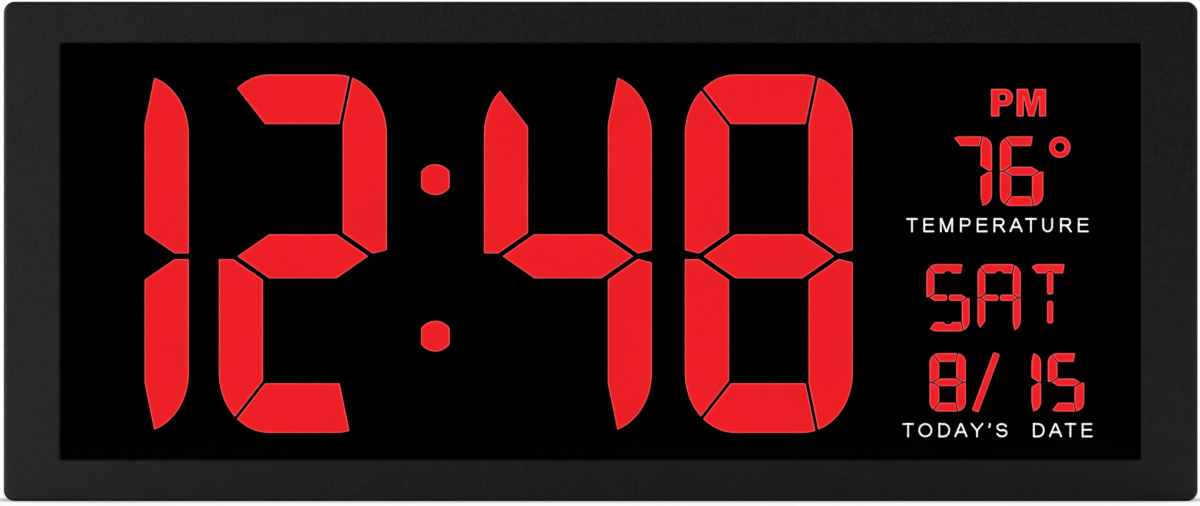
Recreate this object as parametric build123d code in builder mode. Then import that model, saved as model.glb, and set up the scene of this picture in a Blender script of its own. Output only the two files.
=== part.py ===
from build123d import *

import os
from dataclasses import dataclass
from math import acos, atan2, cos, degrees, hypot, pi, radians, sin

# Large-digit LED day clock for a wall or a shelf. Two ABS shells hold a smoked window, a segment
# display on its own board, and a control board whose buttons, dimmer slide, backup cell and power
# inlet are reached from the back. Two legs fold out of the back to stand it on a shelf.
#
# Frame: X to the right as the display is read, Y towards the back, Z up, in millimetres.
# Origin: centre of the underside. Every depth below is a Y value, from the front to the back.

# ------------------------------------------------------------------ body
body_width = 368.0
body_height = 154.0
body_depth = 32.0
body_corner = 3.4  # radius of the four corners seen from the front
wall = 2.2  # side and back walls of both shells
front_wall = 2.0  # wall that frames the window
bezel_depth = 18.0  # front shell, from its face to the parting line
front_edge = 1.0  # round on the front face's outer edge
rear_edge = 1.8  # round on the back face's outer edge
seam_bevel = 0.4  # bevel on both sides of the parting line
tongue_height = 3.8  # lip of the rear cover that slides into the front shell
tongue_thickness = 1.4
tongue_clearance = 0.15
tongue_bite = 0.2  # how far the tongue's root runs into the cover's wall

front_y = -body_depth / 2
back_y = body_depth / 2
seam_y = front_y + bezel_depth
back_wall_y = back_y - wall  # inner face of the back wall
middle_z = body_height / 2

# ------------------------------------------------------------------ window and display stack
window_width = 333.2
window_height = 128.4
window_corner = 0.8
window_bevel = 0.5
lens_overlap = 3.0  # how far the window pane reaches behind the frame on each side
lens_thickness = 2.0
lens_clearance = 0.2  # between the pane's edge and the rib round it
lens_rib_thickness = 1.0
lens_rib_height = 2.4
tape_thickness = 0.2
tape_setback = 0.8  # the tape's inner edge stays this far behind the window's edge
film_gap = 0.1  # between the pane and the display behind it
mask_thickness = 0.4
reflector_depth = 8.0
reflector_overlap = 1.6  # beyond the window on each side
peg_radius = 1.5  # reflector's locating pegs
peg_margin = 4.0
peg_clearance = 0.15
peg_proud = 0.8  # behind the display board
bridge_width = 1.2  # holds the middle of the degree sign
bridge_thickness = 1.0
tile_depth = 2.4  # light-spreading tile in each segment's opening
tile_clearance = 0.06
display_board_thickness = 1.6
display_board_margin = 4.2  # from the shell's inner side wall
display_board_height = 132.0

window_z = middle_z
lens_width = window_width + 2 * lens_overlap
lens_height = window_height + 2 * lens_overlap
lens_front_y = front_y + front_wall + tape_thickness
lens_back_y = lens_front_y + lens_thickness
mask_front_y = lens_back_y + film_gap
mask_back_y = mask_front_y + mask_thickness
reflector_back_y = mask_back_y + reflector_depth
display_board_back_y = reflector_back_y + display_board_thickness
display_board_width = body_width - 2 * (wall + display_board_margin)
mask_width = window_width + 2 * reflector_overlap
mask_height = window_height + 2 * reflector_overlap

# ------------------------------------------------------------------ time digits
time_digit_width = 51.8
time_digit_height = 110.6
time_waist_drop = 0.8  # the middle bar lies this far below the digit's centre
time_side_stroke = 13.6
time_cap_stroke = 15.3
time_mid_stroke = 13.6
time_corner_x = 15.6  # the outer corners are quarter ellipses
time_corner_z = 18.4
time_gap = 0.95
time_mid_gap = 1.45
time_tip_inset = 5.7
time_flat_run = 1.9
time_waist_slot = 1.75
time_notch = 1.0
time_notch_run = 4.0

time_row_z = window_z - 0.7
hour_tens_x = -153.0
hour_units_x = -91.9
minute_tens_x = -10.1
minute_units_x = 51.9
colon_x = -51.0
colon_width = 8.8
colon_height = 9.5
colon_crown = 2.2  # rise of the dot's rounded top
colon_corner = 1.2
colon_spacing = 48.3
colon_z = time_row_z - 1.3

# ------------------------------------------------------------------ small digits
small_gap = 0.32

temperature_digit_width = 13.4
temperature_digit_height = 21.5
temperature_side_stroke = 3.5
temperature_cap_stroke = 3.0
temperature_mid_stroke = 2.7
temperature_corner = 3.4
temperature_tip_inset = 1.4
temperature_pitch = 15.85

weekday_digit_width = 13.3
weekday_digit_height = 20.8
weekday_side_stroke = 2.4
weekday_cap_stroke = 2.9
weekday_mid_stroke = 1.95
weekday_corner = 3.3
weekday_tip_inset = 1.05
weekday_pitch = 15.75
centre_bar_width = 1.85
centre_bar_start = 1.0  # from the digit's middle
centre_bar_end = 7.9
centre_bar_round = 0.6
centre_split = 0.5  # gap in the middle bar, which has two halves here
centre_end_round = 0.85  # on the halves' inner ends

date_digit_width = 11.2
date_digit_height = 18.0
date_side_stroke = 2.95
date_cap_stroke = 2.7
date_mid_stroke = 2.3
date_corner = 2.9
date_tip_inset = 1.2
date_pitch = 13.3
slash_width = 2.15
slash_rise = 18.0
slash_run = 6.7
slash_round = 0.5

sign_width = 18.6  # tile behind the two letters of the afternoon sign
sign_height = 9.6
letter_height = 8.4
letter_gap = 1.2
p_width = 6.7
p_stem = 2.5
p_bowl = 5.3  # height of the bowl
p_bowl_round = 2.5
p_hole = 2.0
p_hole_round = 0.7
m_width = 9.0
m_stem = 2.1
m_notch_width = 2.2
m_notch_depth = 4.7
m_point_width = 1.8  # where the two slanted strokes meet
m_wedge_height = 6.0  # of the gaps between stems and slanted strokes

info_x = 122.5  # centre of the column to the right of the time
sign_z = window_z + 45.9
temperature_z = window_z + 24.75
weekday_z = window_z - 14.3
date_z = window_z - 40.4
temperature_tens_x = info_x - 8.45
degree_x = info_x + 19.2
degree_z = temperature_z + 7.4
degree_radius = 3.28
degree_hole_radius = 1.48
weekday_first_x = info_x - 15.3
month_units_x = info_x - 15.4
slash_x = info_x - 3.6
day_tens_x = info_x + 7.8
sign_x = info_x + 6.45

# ------------------------------------------------------------------ light sources and drivers
big_led_length = 3.5
big_led_width = 2.8
big_led_height = 1.2
big_led_room = 5.0  # the cell of a big one has at least this many times its area
big_led_share = 0.3  # spacing along a long segment, as a share of its length
small_led_length = 1.6
small_led_width = 0.8
small_led_height = 0.6
driver_chip_length = 15.4
driver_chip_width = 7.5
driver_chip_height = 1.7
driver_chip_pitch = 96.0
driver_chip_count = 3
driver_chip_z = 122.0
resistor_length = 2.0
resistor_width = 1.25
resistor_height = 0.6
resistor_pitch = 4.0
resistor_count = 22
resistor_z = 112.0

# ------------------------------------------------------------------ fastenings
cover_boss_radius = 3.6
cover_boss_bite = 0.6  # how far each boss runs into the side wall
cover_boss_rise = 1.0  # beyond the parting line, into the rear cover
cover_boss_gap = 0.2  # between a boss and the cover's screw well
cover_screw_middle_x = 60.0
cover_well_radius = 4.6
cover_seat_thickness = 3.2
cover_screw_shank_radius = 1.5
cover_screw_head_radius = 2.8
cover_screw_head_height = 2.2
cover_screw_length = 12.0
cover_well_bore_radius = 3.1
screw_clearance = 0.05  # shank in its pilot hole, and in the holes it passes
screw_free_clearance = 0.3
screw_end_gap = 1.2  # left below a screw in its pilot hole
screw_crown_share = 0.25  # bevel of a head, as a share of its height
drive_slot_width = 0.8
drive_slot_depth = 0.9

display_boss_radius = 3.2
display_boss_x = 173.2
display_boss_spacing = 47.0
display_screw_shank_radius = 1.3
display_screw_head_radius = 2.6
display_screw_head_height = 1.8
display_screw_length = 7.0

# ------------------------------------------------------------------ control board and its parts
control_board_width = 124.0
control_board_height = 70.0
control_board_z = 73.0
control_board_thickness = 1.6
control_board_back_y = 5.0
control_boss_radius = 3.0
control_boss_inset = 5.0
control_screw_shank_radius = 1.2
control_screw_head_radius = 2.3
control_screw_head_height = 1.6
control_screw_length = 7.0

chip_size = 10.0
chip_height = 1.4
chip_corner = 0.8
chip_x = 8.0
chip_z = 84.0
crystal_radius = 1.0
crystal_length = 6.0
crystal_x = 22.0
capacitor_radius = 3.15
capacitor_height = 7.0
capacitor_spacing = 9.0
capacitor_x = -18.0
capacitor_z = 47.0
regulator_width = 6.5
regulator_height = 3.5
regulator_thickness = 1.8
regulator_x = -4.0
regulator_z = 47.0

ribbon_x = -24.0
ribbon_width = 12.7
ribbon_thickness = 0.6
header_width = 15.2
header_height = 5.0
header_thickness = 2.4
display_header_z = 98.0
control_header_z = 62.0
ribbon_straight = 8.0
ribbon_bend = 6.0

# ------------------------------------------------------------------ buttons and dimmer
panel_depth = 2.5  # recess of the button panel in the back face
panel_x = 1.0
panel_z = 95.0
panel_width = 106.0
panel_height = 19.0
panel_corner = 4.0
button_names = ("set", "plus", "minus", "unit")
button_first_x = -38.0
button_pitch = 19.0
button_width = 12.0
button_height = 6.6
button_clearance = 0.25
button_proud = 1.5
button_flange = 1.3
button_flange_thickness = 1.1
button_flange_gap = 0.1
button_edge = 0.6
button_travel = 0.6
switch_size = 6.0
switch_height = 3.5
switch_stem_radius = 1.75
switch_stem_clearance = 0.1
switch_stem_depth = 1.6
switch_well_gap = 0.4  # below the pressed stem

dimmer_x = 41.0
dimmer_travel = 2.0  # to each side of the middle position
dimmer_thumb_length = 5.0
dimmer_thumb_width = 3.2
dimmer_thumb_proud = 1.2
dimmer_slot_clearance = 0.3
dimmer_flange_margin = 1.4
dimmer_flange_thickness = 0.8
dimmer_stem_length = 2.0
dimmer_stem_width = 1.5
dimmer_stem_engagement = 1.8
dimmer_switch_length = 10.0
dimmer_switch_width = 4.4
dimmer_switch_height = 3.5
dimmer_grip_count = 3
dimmer_grip_depth = 0.4

# ------------------------------------------------------------------ backup cell and its cap
cell_radius = 10.0
cell_thickness = 3.2
cell_clearance = 0.2
cell_rim_bevel = 0.5
cell_x = 30.0
cell_z = 58.0
holder_wall = 1.7
holder_floor = 1.2
holder_lip = 0.3  # holder's rim above the cell
contact_thickness = 0.3
contact_width = 5.0
contact_reach = 4.0
cap_radius = 13.4
cap_clearance = 0.2
cap_disc_thickness = 1.8
cap_recess = 0.2  # cap's face below the back face
cap_edge = 0.4
cap_seat_gap = 0.1
cap_skirt_radius = 12.0
cap_skirt_wall = 1.4
cap_lug_reach = 1.2
cap_lug_thickness = 1.2
cap_lug_angle = 22.0
cap_lug_count = 3
cap_ledge_thickness = 1.9
cap_lug_gap = 0.2
cap_notch_angle = 30.0
cap_unlock_angle = 45.0
cap_slot_length = 15.0
cap_slot_width = 2.2
cap_slot_depth = 1.1
cap_boss_margin = 2.6

# ------------------------------------------------------------------ power inlet
inlet_x = -35.0
inlet_y = 9.3
inlet_mouth_gap = 0.2  # from the channel's end to the inlet's mouth
inlet_body_gap = 0.3  # between the channel's end wall and the inlet's body
inlet_body_width = 9.0
inlet_body_length = 11.0
inlet_nose_radius = 4.0
inlet_nose_clearance = 0.2
inlet_bore_radius = 2.8
inlet_bore_depth = 9.0
inlet_pin_radius = 1.0
inlet_pin_setback = 1.0
inlet_pin_round = 0.3
channel_width = 13.0
channel_depth = 11.8
channel_end_z = 35.0
channel_corner = 2.0

# ------------------------------------------------------------------ legs
leg_x = 120.0
leg_length = 58.0  # from the hinge pin to the tip
leg_width = 20.8
leg_rear_thickness = 3.6  # from the pin's axis to the leg's outer face
leg_front_thickness = 3.2
leg_tip_front_thickness = 0.6
leg_tip_radius = 1.6
leg_side_clearance = 0.5
leg_floor_clearance = 0.3
leg_tip_clearance = 2.0
leg_stop_gap = 0.3
leg_hollow_wall = 2.0
leg_hollow_start = 8.0
leg_hollow_floor = 2.0
leg_hollow_corner = 1.5
leg_rib_thickness = 1.6
hinge_y = 12.0
hinge_z = 14.0
hinge_pin_radius = 1.5
hinge_pin_fit = 0.02  # pin in the cover's cheeks
hinge_running_clearance = 0.08  # pin in the leg
pad_length = 11.0
pad_width = 15.0
pad_thickness = 1.2
pad_proud = 0.3
pad_tip_margin = 2.6
pad_clearance = 0.1
pad_corner = 1.5
finger_notch_width = 14.0
finger_notch_height = 7.0
finger_notch_depth = 7.0
finger_notch_corner = 1.0

# ------------------------------------------------------------------ wall hanging and air slots
keyhole_spacing = 200.0
keyhole_z = 124.0
keyhole_head_radius = 4.5
keyhole_slot_width = 4.4
keyhole_rise = 9.0
keyhole_pocket_depth = 5.5
keyhole_pocket_margin = 1.8
keyhole_pocket_wall = 1.6
side_vent_x = 80.0
side_vent_z = 50.0
side_vent_count = 5
top_vent_z = 131.0
top_vent_count = 12
vent_width = 1.8
vent_height = 14.0
vent_pitch = 5.0
thermistor_bead_radius = 1.3
thermistor_lead_width = 0.5
thermistor_lead_gap = 1.6
thermistor_lead_bend = 1.5
thermistor_inset = 3.0  # from the control board's edge to the leads
thermistor_y = 9.8


# ------------------------------------------------------------------ helpers
def at_depth(y):
    """Drawing plane that faces the front at depth y: its axes are X and Z."""
    return Plane.XZ.offset(-y)


def facing_front(x, z, y):
    """Place for a round feature whose axis runs from depth y towards the front."""
    return Plane(origin=(x, y, z), x_dir=(1, 0, 0), z_dir=(0, -1, 0))


def disc(x, z, y_front, y_back, radius, mode=Mode.ADD):
    """Cylinder along Y between two depths, in the part being built."""
    with BuildSketch(facing_front(x, z, y_back)) as outline:
        Circle(radius)
    extrude(outline.sketch, amount=y_back - y_front, mode=mode)


def slab(x, z, width, height, y_front, y_back, corner=0.0, mode=Mode.ADD):
    """Plate square to Y between two depths, with rounded corners if asked for."""
    with BuildSketch(facing_front(x, z, y_back)) as outline:
        if corner:
            RectangleRounded(width, height, corner)
        else:
            Rectangle(width, height)
    extrude(outline.sketch, amount=y_back - y_front, mode=mode)


def save(builder, name):
    """Labels a finished piece and writes it as one STEP file."""
    builder.part.label = name
    export_step(builder.part, f"parts/{name}.step")


os.makedirs("parts", exist_ok=True)


# ------------------------------------------------------------------ segment shapes
@dataclass(frozen=True)
class DigitStyle:
    """Proportions of one size of digit, in millimetres."""

    width: float
    height: float
    side_stroke: float
    cap_stroke: float
    mid_stroke: float
    corner_x: float
    corner_z: float
    tip_inset: float
    gap: float = small_gap
    mid_gap: float = small_gap
    flat_run: float = 0.1
    waist_slot: float = small_gap
    waist_drop: float = 0.0
    centre_bars: bool = False


time_style = DigitStyle(
    time_digit_width,
    time_digit_height,
    time_side_stroke,
    time_cap_stroke,
    time_mid_stroke,
    time_corner_x,
    time_corner_z,
    time_tip_inset,
    gap=time_gap,
    mid_gap=time_mid_gap,
    flat_run=time_flat_run,
    waist_slot=time_waist_slot,
    waist_drop=time_waist_drop,
)
temperature_style = DigitStyle(
    temperature_digit_width,
    temperature_digit_height,
    temperature_side_stroke,
    temperature_cap_stroke,
    temperature_mid_stroke,
    temperature_corner,
    temperature_corner,
    temperature_tip_inset,
)
weekday_style = DigitStyle(
    weekday_digit_width,
    weekday_digit_height,
    weekday_side_stroke,
    weekday_cap_stroke,
    weekday_mid_stroke,
    weekday_corner,
    weekday_corner,
    weekday_tip_inset,
    centre_bars=True,
)
date_style = DigitStyle(
    date_digit_width,
    date_digit_height,
    date_side_stroke,
    date_cap_stroke,
    date_mid_stroke,
    date_corner,
    date_corner,
    date_tip_inset,
)

left_mitre_angle = 128.0  # of the upper joints between a cap and its sides, from +X
right_mitre_angle = 78.3
right_mitre_shift = 0.5  # in gaps, towards the cap
# Where a segment lies in its digit, as a share of the digit's width or height.
beside_middle = 0.3
near_waist = 0.05
near_cap = 0.35


def draw_middle_bar(style, inset=0.0):
    """Six-sided middle bar about the digit's centre, drawn back by inset all round."""
    tip_x = style.width / 2 - style.tip_inset
    flat_x = style.width / 2 - style.side_stroke - style.flat_run
    rise = style.mid_stroke / 2
    waist = -style.waist_drop
    with BuildSketch() as bar:
        Polygon(
            (-tip_x, waist),
            (-flat_x, waist + rise),
            (flat_x, waist + rise),
            (tip_x, waist),
            (flat_x, waist - rise),
            (-flat_x, waist - rise),
            align=None,
        )
        if inset:
            offset(amount=-inset, kind=Kind.INTERSECTION, mode=Mode.REPLACE)
    return bar.sketch


def draw_bar_halves(style, inset):
    """The middle bar as two halves whose inner ends are rounded."""
    with BuildSketch() as halves:
        add(draw_middle_bar(style, inset))
        Rectangle(centre_split + 2 * inset, style.mid_stroke, mode=Mode.SUBTRACT)
        inner_ends = halves.vertices().filter_by_position(Axis.X, -centre_split, centre_split)
        fillet(inner_ends, centre_end_round - inset)
    return halves.sketch


def draw_centre_bars(inset):
    """The two upright bars in the middle of a letter digit."""
    middle = (centre_bar_start + centre_bar_end) / 2
    with BuildSketch() as bars:
        with Locations((0, middle), (0, -middle)):
            RectangleRounded(
                centre_bar_width - 2 * inset,
                centre_bar_end - centre_bar_start - 2 * inset,
                centre_bar_round - inset,
            )
    return bars.sketch


def draw_digit(style, inset=0.0, notched=""):
    """All segments of one digit about its centre, each drawn back by inset all round.

    notched names the side segments whose outer corner at the waist is cut back.
    """
    right = style.width / 2 - inset
    top = style.height / 2 - inset
    waist = -style.waist_drop
    corner_x = style.corner_x - inset
    corner_z = style.corner_z - inset
    inner_x = style.width / 2 - style.side_stroke
    inner_z = style.height / 2 - style.cap_stroke
    slot = style.waist_slot / 2 + inset
    with BuildSketch() as digit:
        with BuildLine():
            for side_x, side_z, start in ((1, 1, 0), (-1, 1, 90), (-1, -1, 180), (1, -1, 270)):
                EllipticalCenterArc(
                    (side_x * (right - corner_x), side_z * (top - corner_z)),
                    corner_x,
                    corner_z,
                    start_angle=start,
                    arc_size=90,
                )
            Line((right, corner_z - top), (right, top - corner_z))
            Line((-right, corner_z - top), (-right, top - corner_z))
            Line((corner_x - right, top), (right - corner_x, top))
            Line((corner_x - right, -top), (right - corner_x, -top))
        make_face()
        Rectangle(2 * (inner_x + inset), 2 * (inner_z + inset), mode=Mode.SUBTRACT)
        # Joints between a cap and its sides. The right ones leave the side segment's edge on the
        # inner corner, the left ones run through it.
        for side, angle, shift in (
            (-1, left_mitre_angle, 0.0),
            (1, right_mitre_angle, right_mitre_shift),
        ):
            for up in (1, -1):
                with Locations(Location((side * inner_x, up * inner_z, 0), (0, 0, up * angle))):
                    with Locations((-style.gap, up * shift * style.gap)):
                        Rectangle(
                            style.height / 2,
                            style.gap + 2 * inset,
                            align=(Align.MIN, Align.CENTER),
                            mode=Mode.SUBTRACT,
                        )
        with Locations((0, waist)):
            Rectangle(style.width, 2 * slot, mode=Mode.SUBTRACT)
        for name, side, up in (("b", 1, 1), ("c", 1, -1), ("e", -1, -1), ("f", -1, 1)):
            if name in notched:
                Polygon(
                    (side * (right - time_notch_run), waist + up * slot),
                    (side * right, waist + up * slot),
                    (side * right, waist + up * (slot + time_notch)),
                    align=None,
                    mode=Mode.SUBTRACT,
                )
        add(draw_middle_bar(style, -style.mid_gap - inset), mode=Mode.SUBTRACT)
        if style.centre_bars:
            add(draw_centre_bars(-style.gap - inset), mode=Mode.SUBTRACT)
            add(draw_bar_halves(style, inset))
            add(draw_centre_bars(inset))
        else:
            add(draw_middle_bar(style, inset))
    return digit.sketch


def segment_name(face, style):
    """Letter of a segment from where it lies in its digit: a to g, h beside g, i and l centre bars."""
    centre = face.center()
    across = centre.X / style.width
    above = (centre.Y + style.waist_drop) / style.height
    if abs(across) > beside_middle:
        return {(True, True): "b", (True, False): "c", (False, True): "f", (False, False): "e"}[
            (across > 0, above > 0)
        ]
    if abs(above) < near_waist:
        return "g" if across < near_waist else "h"
    if abs(above) > near_cap:
        return "a" if above > 0 else "d"
    return "i" if above > 0 else "l"


def draw_colon_dot(inset):
    """Barrel-shaped dot with crowned top and bottom."""
    half = colon_width / 2 - inset
    top = colon_height / 2 - inset
    shoulder = top - colon_crown
    with BuildSketch() as dot:
        with BuildLine():
            ThreePointArc((-half, shoulder), (0, top), (half, shoulder))
            Line((half, shoulder), (half, -shoulder))
            ThreePointArc((half, -shoulder), (0, -top), (-half, -shoulder))
            Line((-half, -shoulder), (-half, shoulder))
        make_face()
        fillet(dot.vertices(), colon_corner - inset)
    return dot.sketch


def draw_degree_ring(inset):
    """Ring of the degree sign."""
    with BuildSketch() as ring:
        Circle(degree_radius - inset)
        Circle(degree_hole_radius + inset, mode=Mode.SUBTRACT)
    return ring.sketch


def draw_slash(inset):
    """Leaning bar between month and day."""
    with BuildSketch() as slash:
        with Locations(Location((0, 0, 0), (0, 0, degrees(atan2(slash_rise, slash_run))))):
            RectangleRounded(
                hypot(slash_rise, slash_run) - 2 * inset,
                slash_width - 2 * inset,
                slash_round,
            )
    return slash.sketch


def draw_sign(inset):
    """Outline of the afternoon sign's tile."""
    with BuildSketch() as sign:
        Rectangle(sign_width - 2 * inset, sign_height - 2 * inset)
    return sign.sketch


def draw_letter_p(inset):
    """The letter P about its centre. Its hole is the mask's, so it grows with the inset."""
    left = -p_width / 2
    top = letter_height / 2
    bowl_z = top - p_bowl / 2
    with BuildSketch() as letter:
        with Locations((left + p_stem / 2, 0)):
            Rectangle(p_stem, letter_height)
        with Locations((0, bowl_z)):
            Rectangle(p_width, p_bowl)
        right_corners = letter.vertices().filter_by_position(Axis.X, p_width / 2, p_width / 2)
        fillet(right_corners, p_bowl_round)
        if inset:
            offset(amount=-inset, kind=Kind.INTERSECTION, mode=Mode.REPLACE)
        with Locations((left + p_stem + p_hole / 2, bowl_z)):
            RectangleRounded(
                p_hole + 2 * inset, p_hole + 2 * inset, p_hole_round + inset, mode=Mode.SUBTRACT
            )
    return letter.sketch


def draw_letter_m(inset):
    """The letter M about its centre."""
    right = m_width / 2
    top = letter_height / 2
    stem_x = right - m_stem
    with BuildSketch() as letter:
        Rectangle(m_width, letter_height)
        Polygon(
            (-m_notch_width / 2, top),
            (m_notch_width / 2, top),
            (0, top - m_notch_depth),
            align=None,
            mode=Mode.SUBTRACT,
        )
        for side in (-1, 1):
            Polygon(
                (side * stem_x, -top),
                (side * m_point_width / 2, -top),
                (side * stem_x, m_wedge_height - top),
                align=None,
                mode=Mode.SUBTRACT,
            )
        if inset:
            offset(amount=-inset, kind=Kind.INTERSECTION, mode=Mode.REPLACE)
    return letter.sketch


def draw_letters(inset):
    """The afternoon sign's two letters, in their place on the display."""
    word_width = p_width + letter_gap + m_width
    with BuildSketch() as letters:
        with Locations((sign_x - (word_width - p_width) / 2, sign_z)):
            add(draw_letter_p(inset))
        with Locations((sign_x + (word_width - m_width) / 2, sign_z)):
            add(draw_letter_m(inset))
    return letters.sketch


# Digits of the display: group, centre, style, lit segments, segments present, notched segments.
seven = "abcdefg"
ten = "abcdefghil"
digits = (
    ("hour", hour_tens_x, time_row_z, time_style, "bc", "bc", ""),
    ("hour", hour_units_x, time_row_z, time_style, "abged", seven, "b"),
    ("minute", minute_tens_x, time_row_z, time_style, "fgbc", seven, "bc"),
    ("minute", minute_units_x, time_row_z, time_style, seven, seven, "fbc"),
    ("temperature", temperature_tens_x, temperature_z, temperature_style, "abc", seven, ""),
    (
        "temperature",
        temperature_tens_x + temperature_pitch,
        temperature_z,
        temperature_style,
        "acdefg",
        seven,
        "",
    ),
    ("weekday", weekday_first_x, weekday_z, weekday_style, "afghcd", ten, ""),
    ("weekday", weekday_first_x + weekday_pitch, weekday_z, weekday_style, "abcefgh", ten, ""),
    ("weekday", weekday_first_x + 2 * weekday_pitch, weekday_z, weekday_style, "ail", ten, ""),
    ("date", month_units_x - date_pitch, date_z, date_style, "", "bc", ""),
    ("date", month_units_x, date_z, date_style, seven, seven, ""),
    ("date", day_tens_x, date_z, date_style, "bc", seven, ""),
    ("date", day_tens_x + date_pitch, date_z, date_style, "afgcd", seven, ""),
)
signs = (
    ("colon", colon_x, colon_z + colon_spacing / 2, draw_colon_dot),
    ("colon", colon_x, colon_z - colon_spacing / 2, draw_colon_dot),
    ("temperature", degree_x, degree_z, draw_degree_ring),
    ("date", slash_x, date_z, draw_slash),
    ("sign", sign_x, sign_z, draw_sign),
)


def display_areas(inset):
    """Every segment as a face seen from the front, gathered by group; unlit ones under dark."""
    areas = {}
    for group, x, z, style, lit, present, notched in digits:
        for face in draw_digit(style, inset, notched).faces():
            name = segment_name(face, style)
            if name in present:
                key = group if name in lit else "dark"
                areas.setdefault(key, []).append(face.moved(Location((x, z, 0))))
    for group, x, z, draw in signs:
        for face in draw(inset).faces():
            areas.setdefault(group, []).append(face.moved(Location((x, z, 0))))
    return areas


def draw_degree_middle():
    """Disc in the middle of the degree sign, in its place on the display."""
    with BuildSketch() as middle:
        with Locations((degree_x, degree_z)):
            Circle(degree_hole_radius)
    return middle.sketch


openings = display_areas(0.0)
tiles = display_areas(tile_clearance)
all_openings = [face for faces in openings.values() for face in faces]

# ------------------------------------------------------------------ fastening places
cover_boss_inset = wall + cover_boss_radius - cover_boss_bite
cover_screw_x = body_width / 2 - cover_boss_inset
cover_screw_z = middle_z - cover_boss_inset
cover_screw_places = [
    (x, middle_z + z)
    for x in (-cover_screw_x, -cover_screw_middle_x, cover_screw_middle_x, cover_screw_x)
    for z in (-cover_screw_z, cover_screw_z)
]
cover_boss_back_y = seam_y + cover_boss_rise
cover_well_front_y = cover_boss_back_y + cover_boss_gap
cover_seat_y = cover_well_front_y + cover_seat_thickness
cover_screw_tip_y = cover_seat_y - cover_screw_length

display_screw_places = [
    (x, window_z + step * display_boss_spacing)
    for x in (-display_boss_x, display_boss_x)
    for step in (-1, 0, 1)
]
display_screw_tip_y = display_board_back_y - display_screw_length

# ------------------------------------------------------------------ front bezel
with BuildPart() as front_bezel:
    slab(0, middle_z, body_width, body_height, front_y, seam_y, body_corner)
    front_face = front_bezel.faces().sort_by(Axis.Y)[0]
    fillet(front_face.outer_wire().edges(), front_edge)
    seam_face = front_bezel.faces().sort_by(Axis.Y)[-1]
    chamfer(seam_face.outer_wire().edges(), seam_bevel)
    slab(
        0,
        middle_z,
        body_width - 2 * wall,
        body_height - 2 * wall,
        front_y + front_wall,
        seam_y,
        body_corner - wall,
        Mode.SUBTRACT,
    )
    slab(
        0,
        window_z,
        window_width,
        window_height,
        front_y,
        front_y + front_wall,
        window_corner,
        Mode.SUBTRACT,
    )
    window_edges = front_bezel.faces().sort_by(Axis.Y)[0].inner_wires()[0].edges()
    chamfer(window_edges, window_bevel)
    # Rib round the window pane.
    rib_y = front_y + front_wall
    rib_inner = 2 * lens_clearance
    rib_outer = 2 * (lens_clearance + lens_rib_thickness)
    with BuildSketch(at_depth(rib_y + lens_rib_height)):
        with Locations((0, window_z)):
            Rectangle(lens_width + rib_outer, lens_height + rib_outer)
            Rectangle(lens_width + rib_inner, lens_height + rib_inner, mode=Mode.SUBTRACT)
    extrude(amount=lens_rib_height)
    # Screw bosses for the rear cover and for the display board.
    with BuildSketch(at_depth(cover_boss_back_y)):
        with Locations(*cover_screw_places):
            Circle(cover_boss_radius)
    extrude(amount=cover_boss_back_y - rib_y)
    with BuildSketch(at_depth(reflector_back_y)):
        with Locations(*display_screw_places):
            Circle(display_boss_radius)
    extrude(amount=reflector_back_y - rib_y)
    with BuildSketch(at_depth(cover_boss_back_y)):
        with Locations(*cover_screw_places):
            Circle(cover_screw_shank_radius + screw_clearance)
    extrude(amount=cover_boss_back_y - cover_screw_tip_y + screw_end_gap, mode=Mode.SUBTRACT)
    with BuildSketch(at_depth(reflector_back_y)):
        with Locations(*display_screw_places):
            Circle(display_screw_shank_radius + screw_clearance)
    extrude(amount=reflector_back_y - display_screw_tip_y + screw_end_gap, mode=Mode.SUBTRACT)
save(front_bezel, "front_bezel")

# ------------------------------------------------------------------ window pane and its tape
with BuildPart() as window_pane:
    slab(0, window_z, lens_width, lens_height, lens_front_y, lens_back_y)
save(window_pane, "window_pane")

with BuildPart() as window_tape:
    slab(0, window_z, lens_width, lens_height, front_y + front_wall, lens_front_y)
    slab(
        0,
        window_z,
        window_width + 2 * tape_setback,
        window_height + 2 * tape_setback,
        front_y + front_wall,
        lens_front_y,
        mode=Mode.SUBTRACT,
    )
save(window_tape, "window_tape")

# ------------------------------------------------------------------ segment mask and reflector
with BuildPart() as segment_mask:
    slab(0, window_z, mask_width, mask_height, mask_front_y, mask_back_y)
    with BuildSketch(at_depth(mask_back_y)):
        for group, faces in openings.items():
            if group != "sign":
                for face in faces:
                    add(face)
        add(draw_degree_middle())
        add(draw_letters(0.0))
    extrude(amount=mask_thickness, mode=Mode.SUBTRACT)
save(segment_mask, "segment_mask")

peg_places = [
    (x * (mask_width / 2 - peg_margin), window_z + z * (mask_height / 2 - peg_margin))
    for x in (-1, 1)
    for z in (-1, 1)
]
peg_back_y = display_board_back_y + peg_proud

with BuildPart() as reflector:
    slab(0, window_z, mask_width, mask_height, mask_back_y, reflector_back_y)
    with BuildSketch(at_depth(reflector_back_y)):
        for face in all_openings:
            add(face)
    extrude(amount=reflector_depth, mode=Mode.SUBTRACT)
    # The degree sign's middle stands on a bridge and fills the mask's opening.
    with BuildSketch(at_depth(reflector_back_y)):
        add(draw_degree_middle())
    extrude(amount=reflector_depth + mask_thickness)
    slab(
        degree_x,
        degree_z,
        2 * degree_radius,
        bridge_width,
        reflector_back_y - bridge_thickness,
        reflector_back_y,
    )
    with BuildSketch(at_depth(peg_back_y)):
        with Locations(*peg_places):
            Circle(peg_radius)
    extrude(amount=peg_back_y - reflector_back_y)
save(reflector, "reflector")

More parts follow.
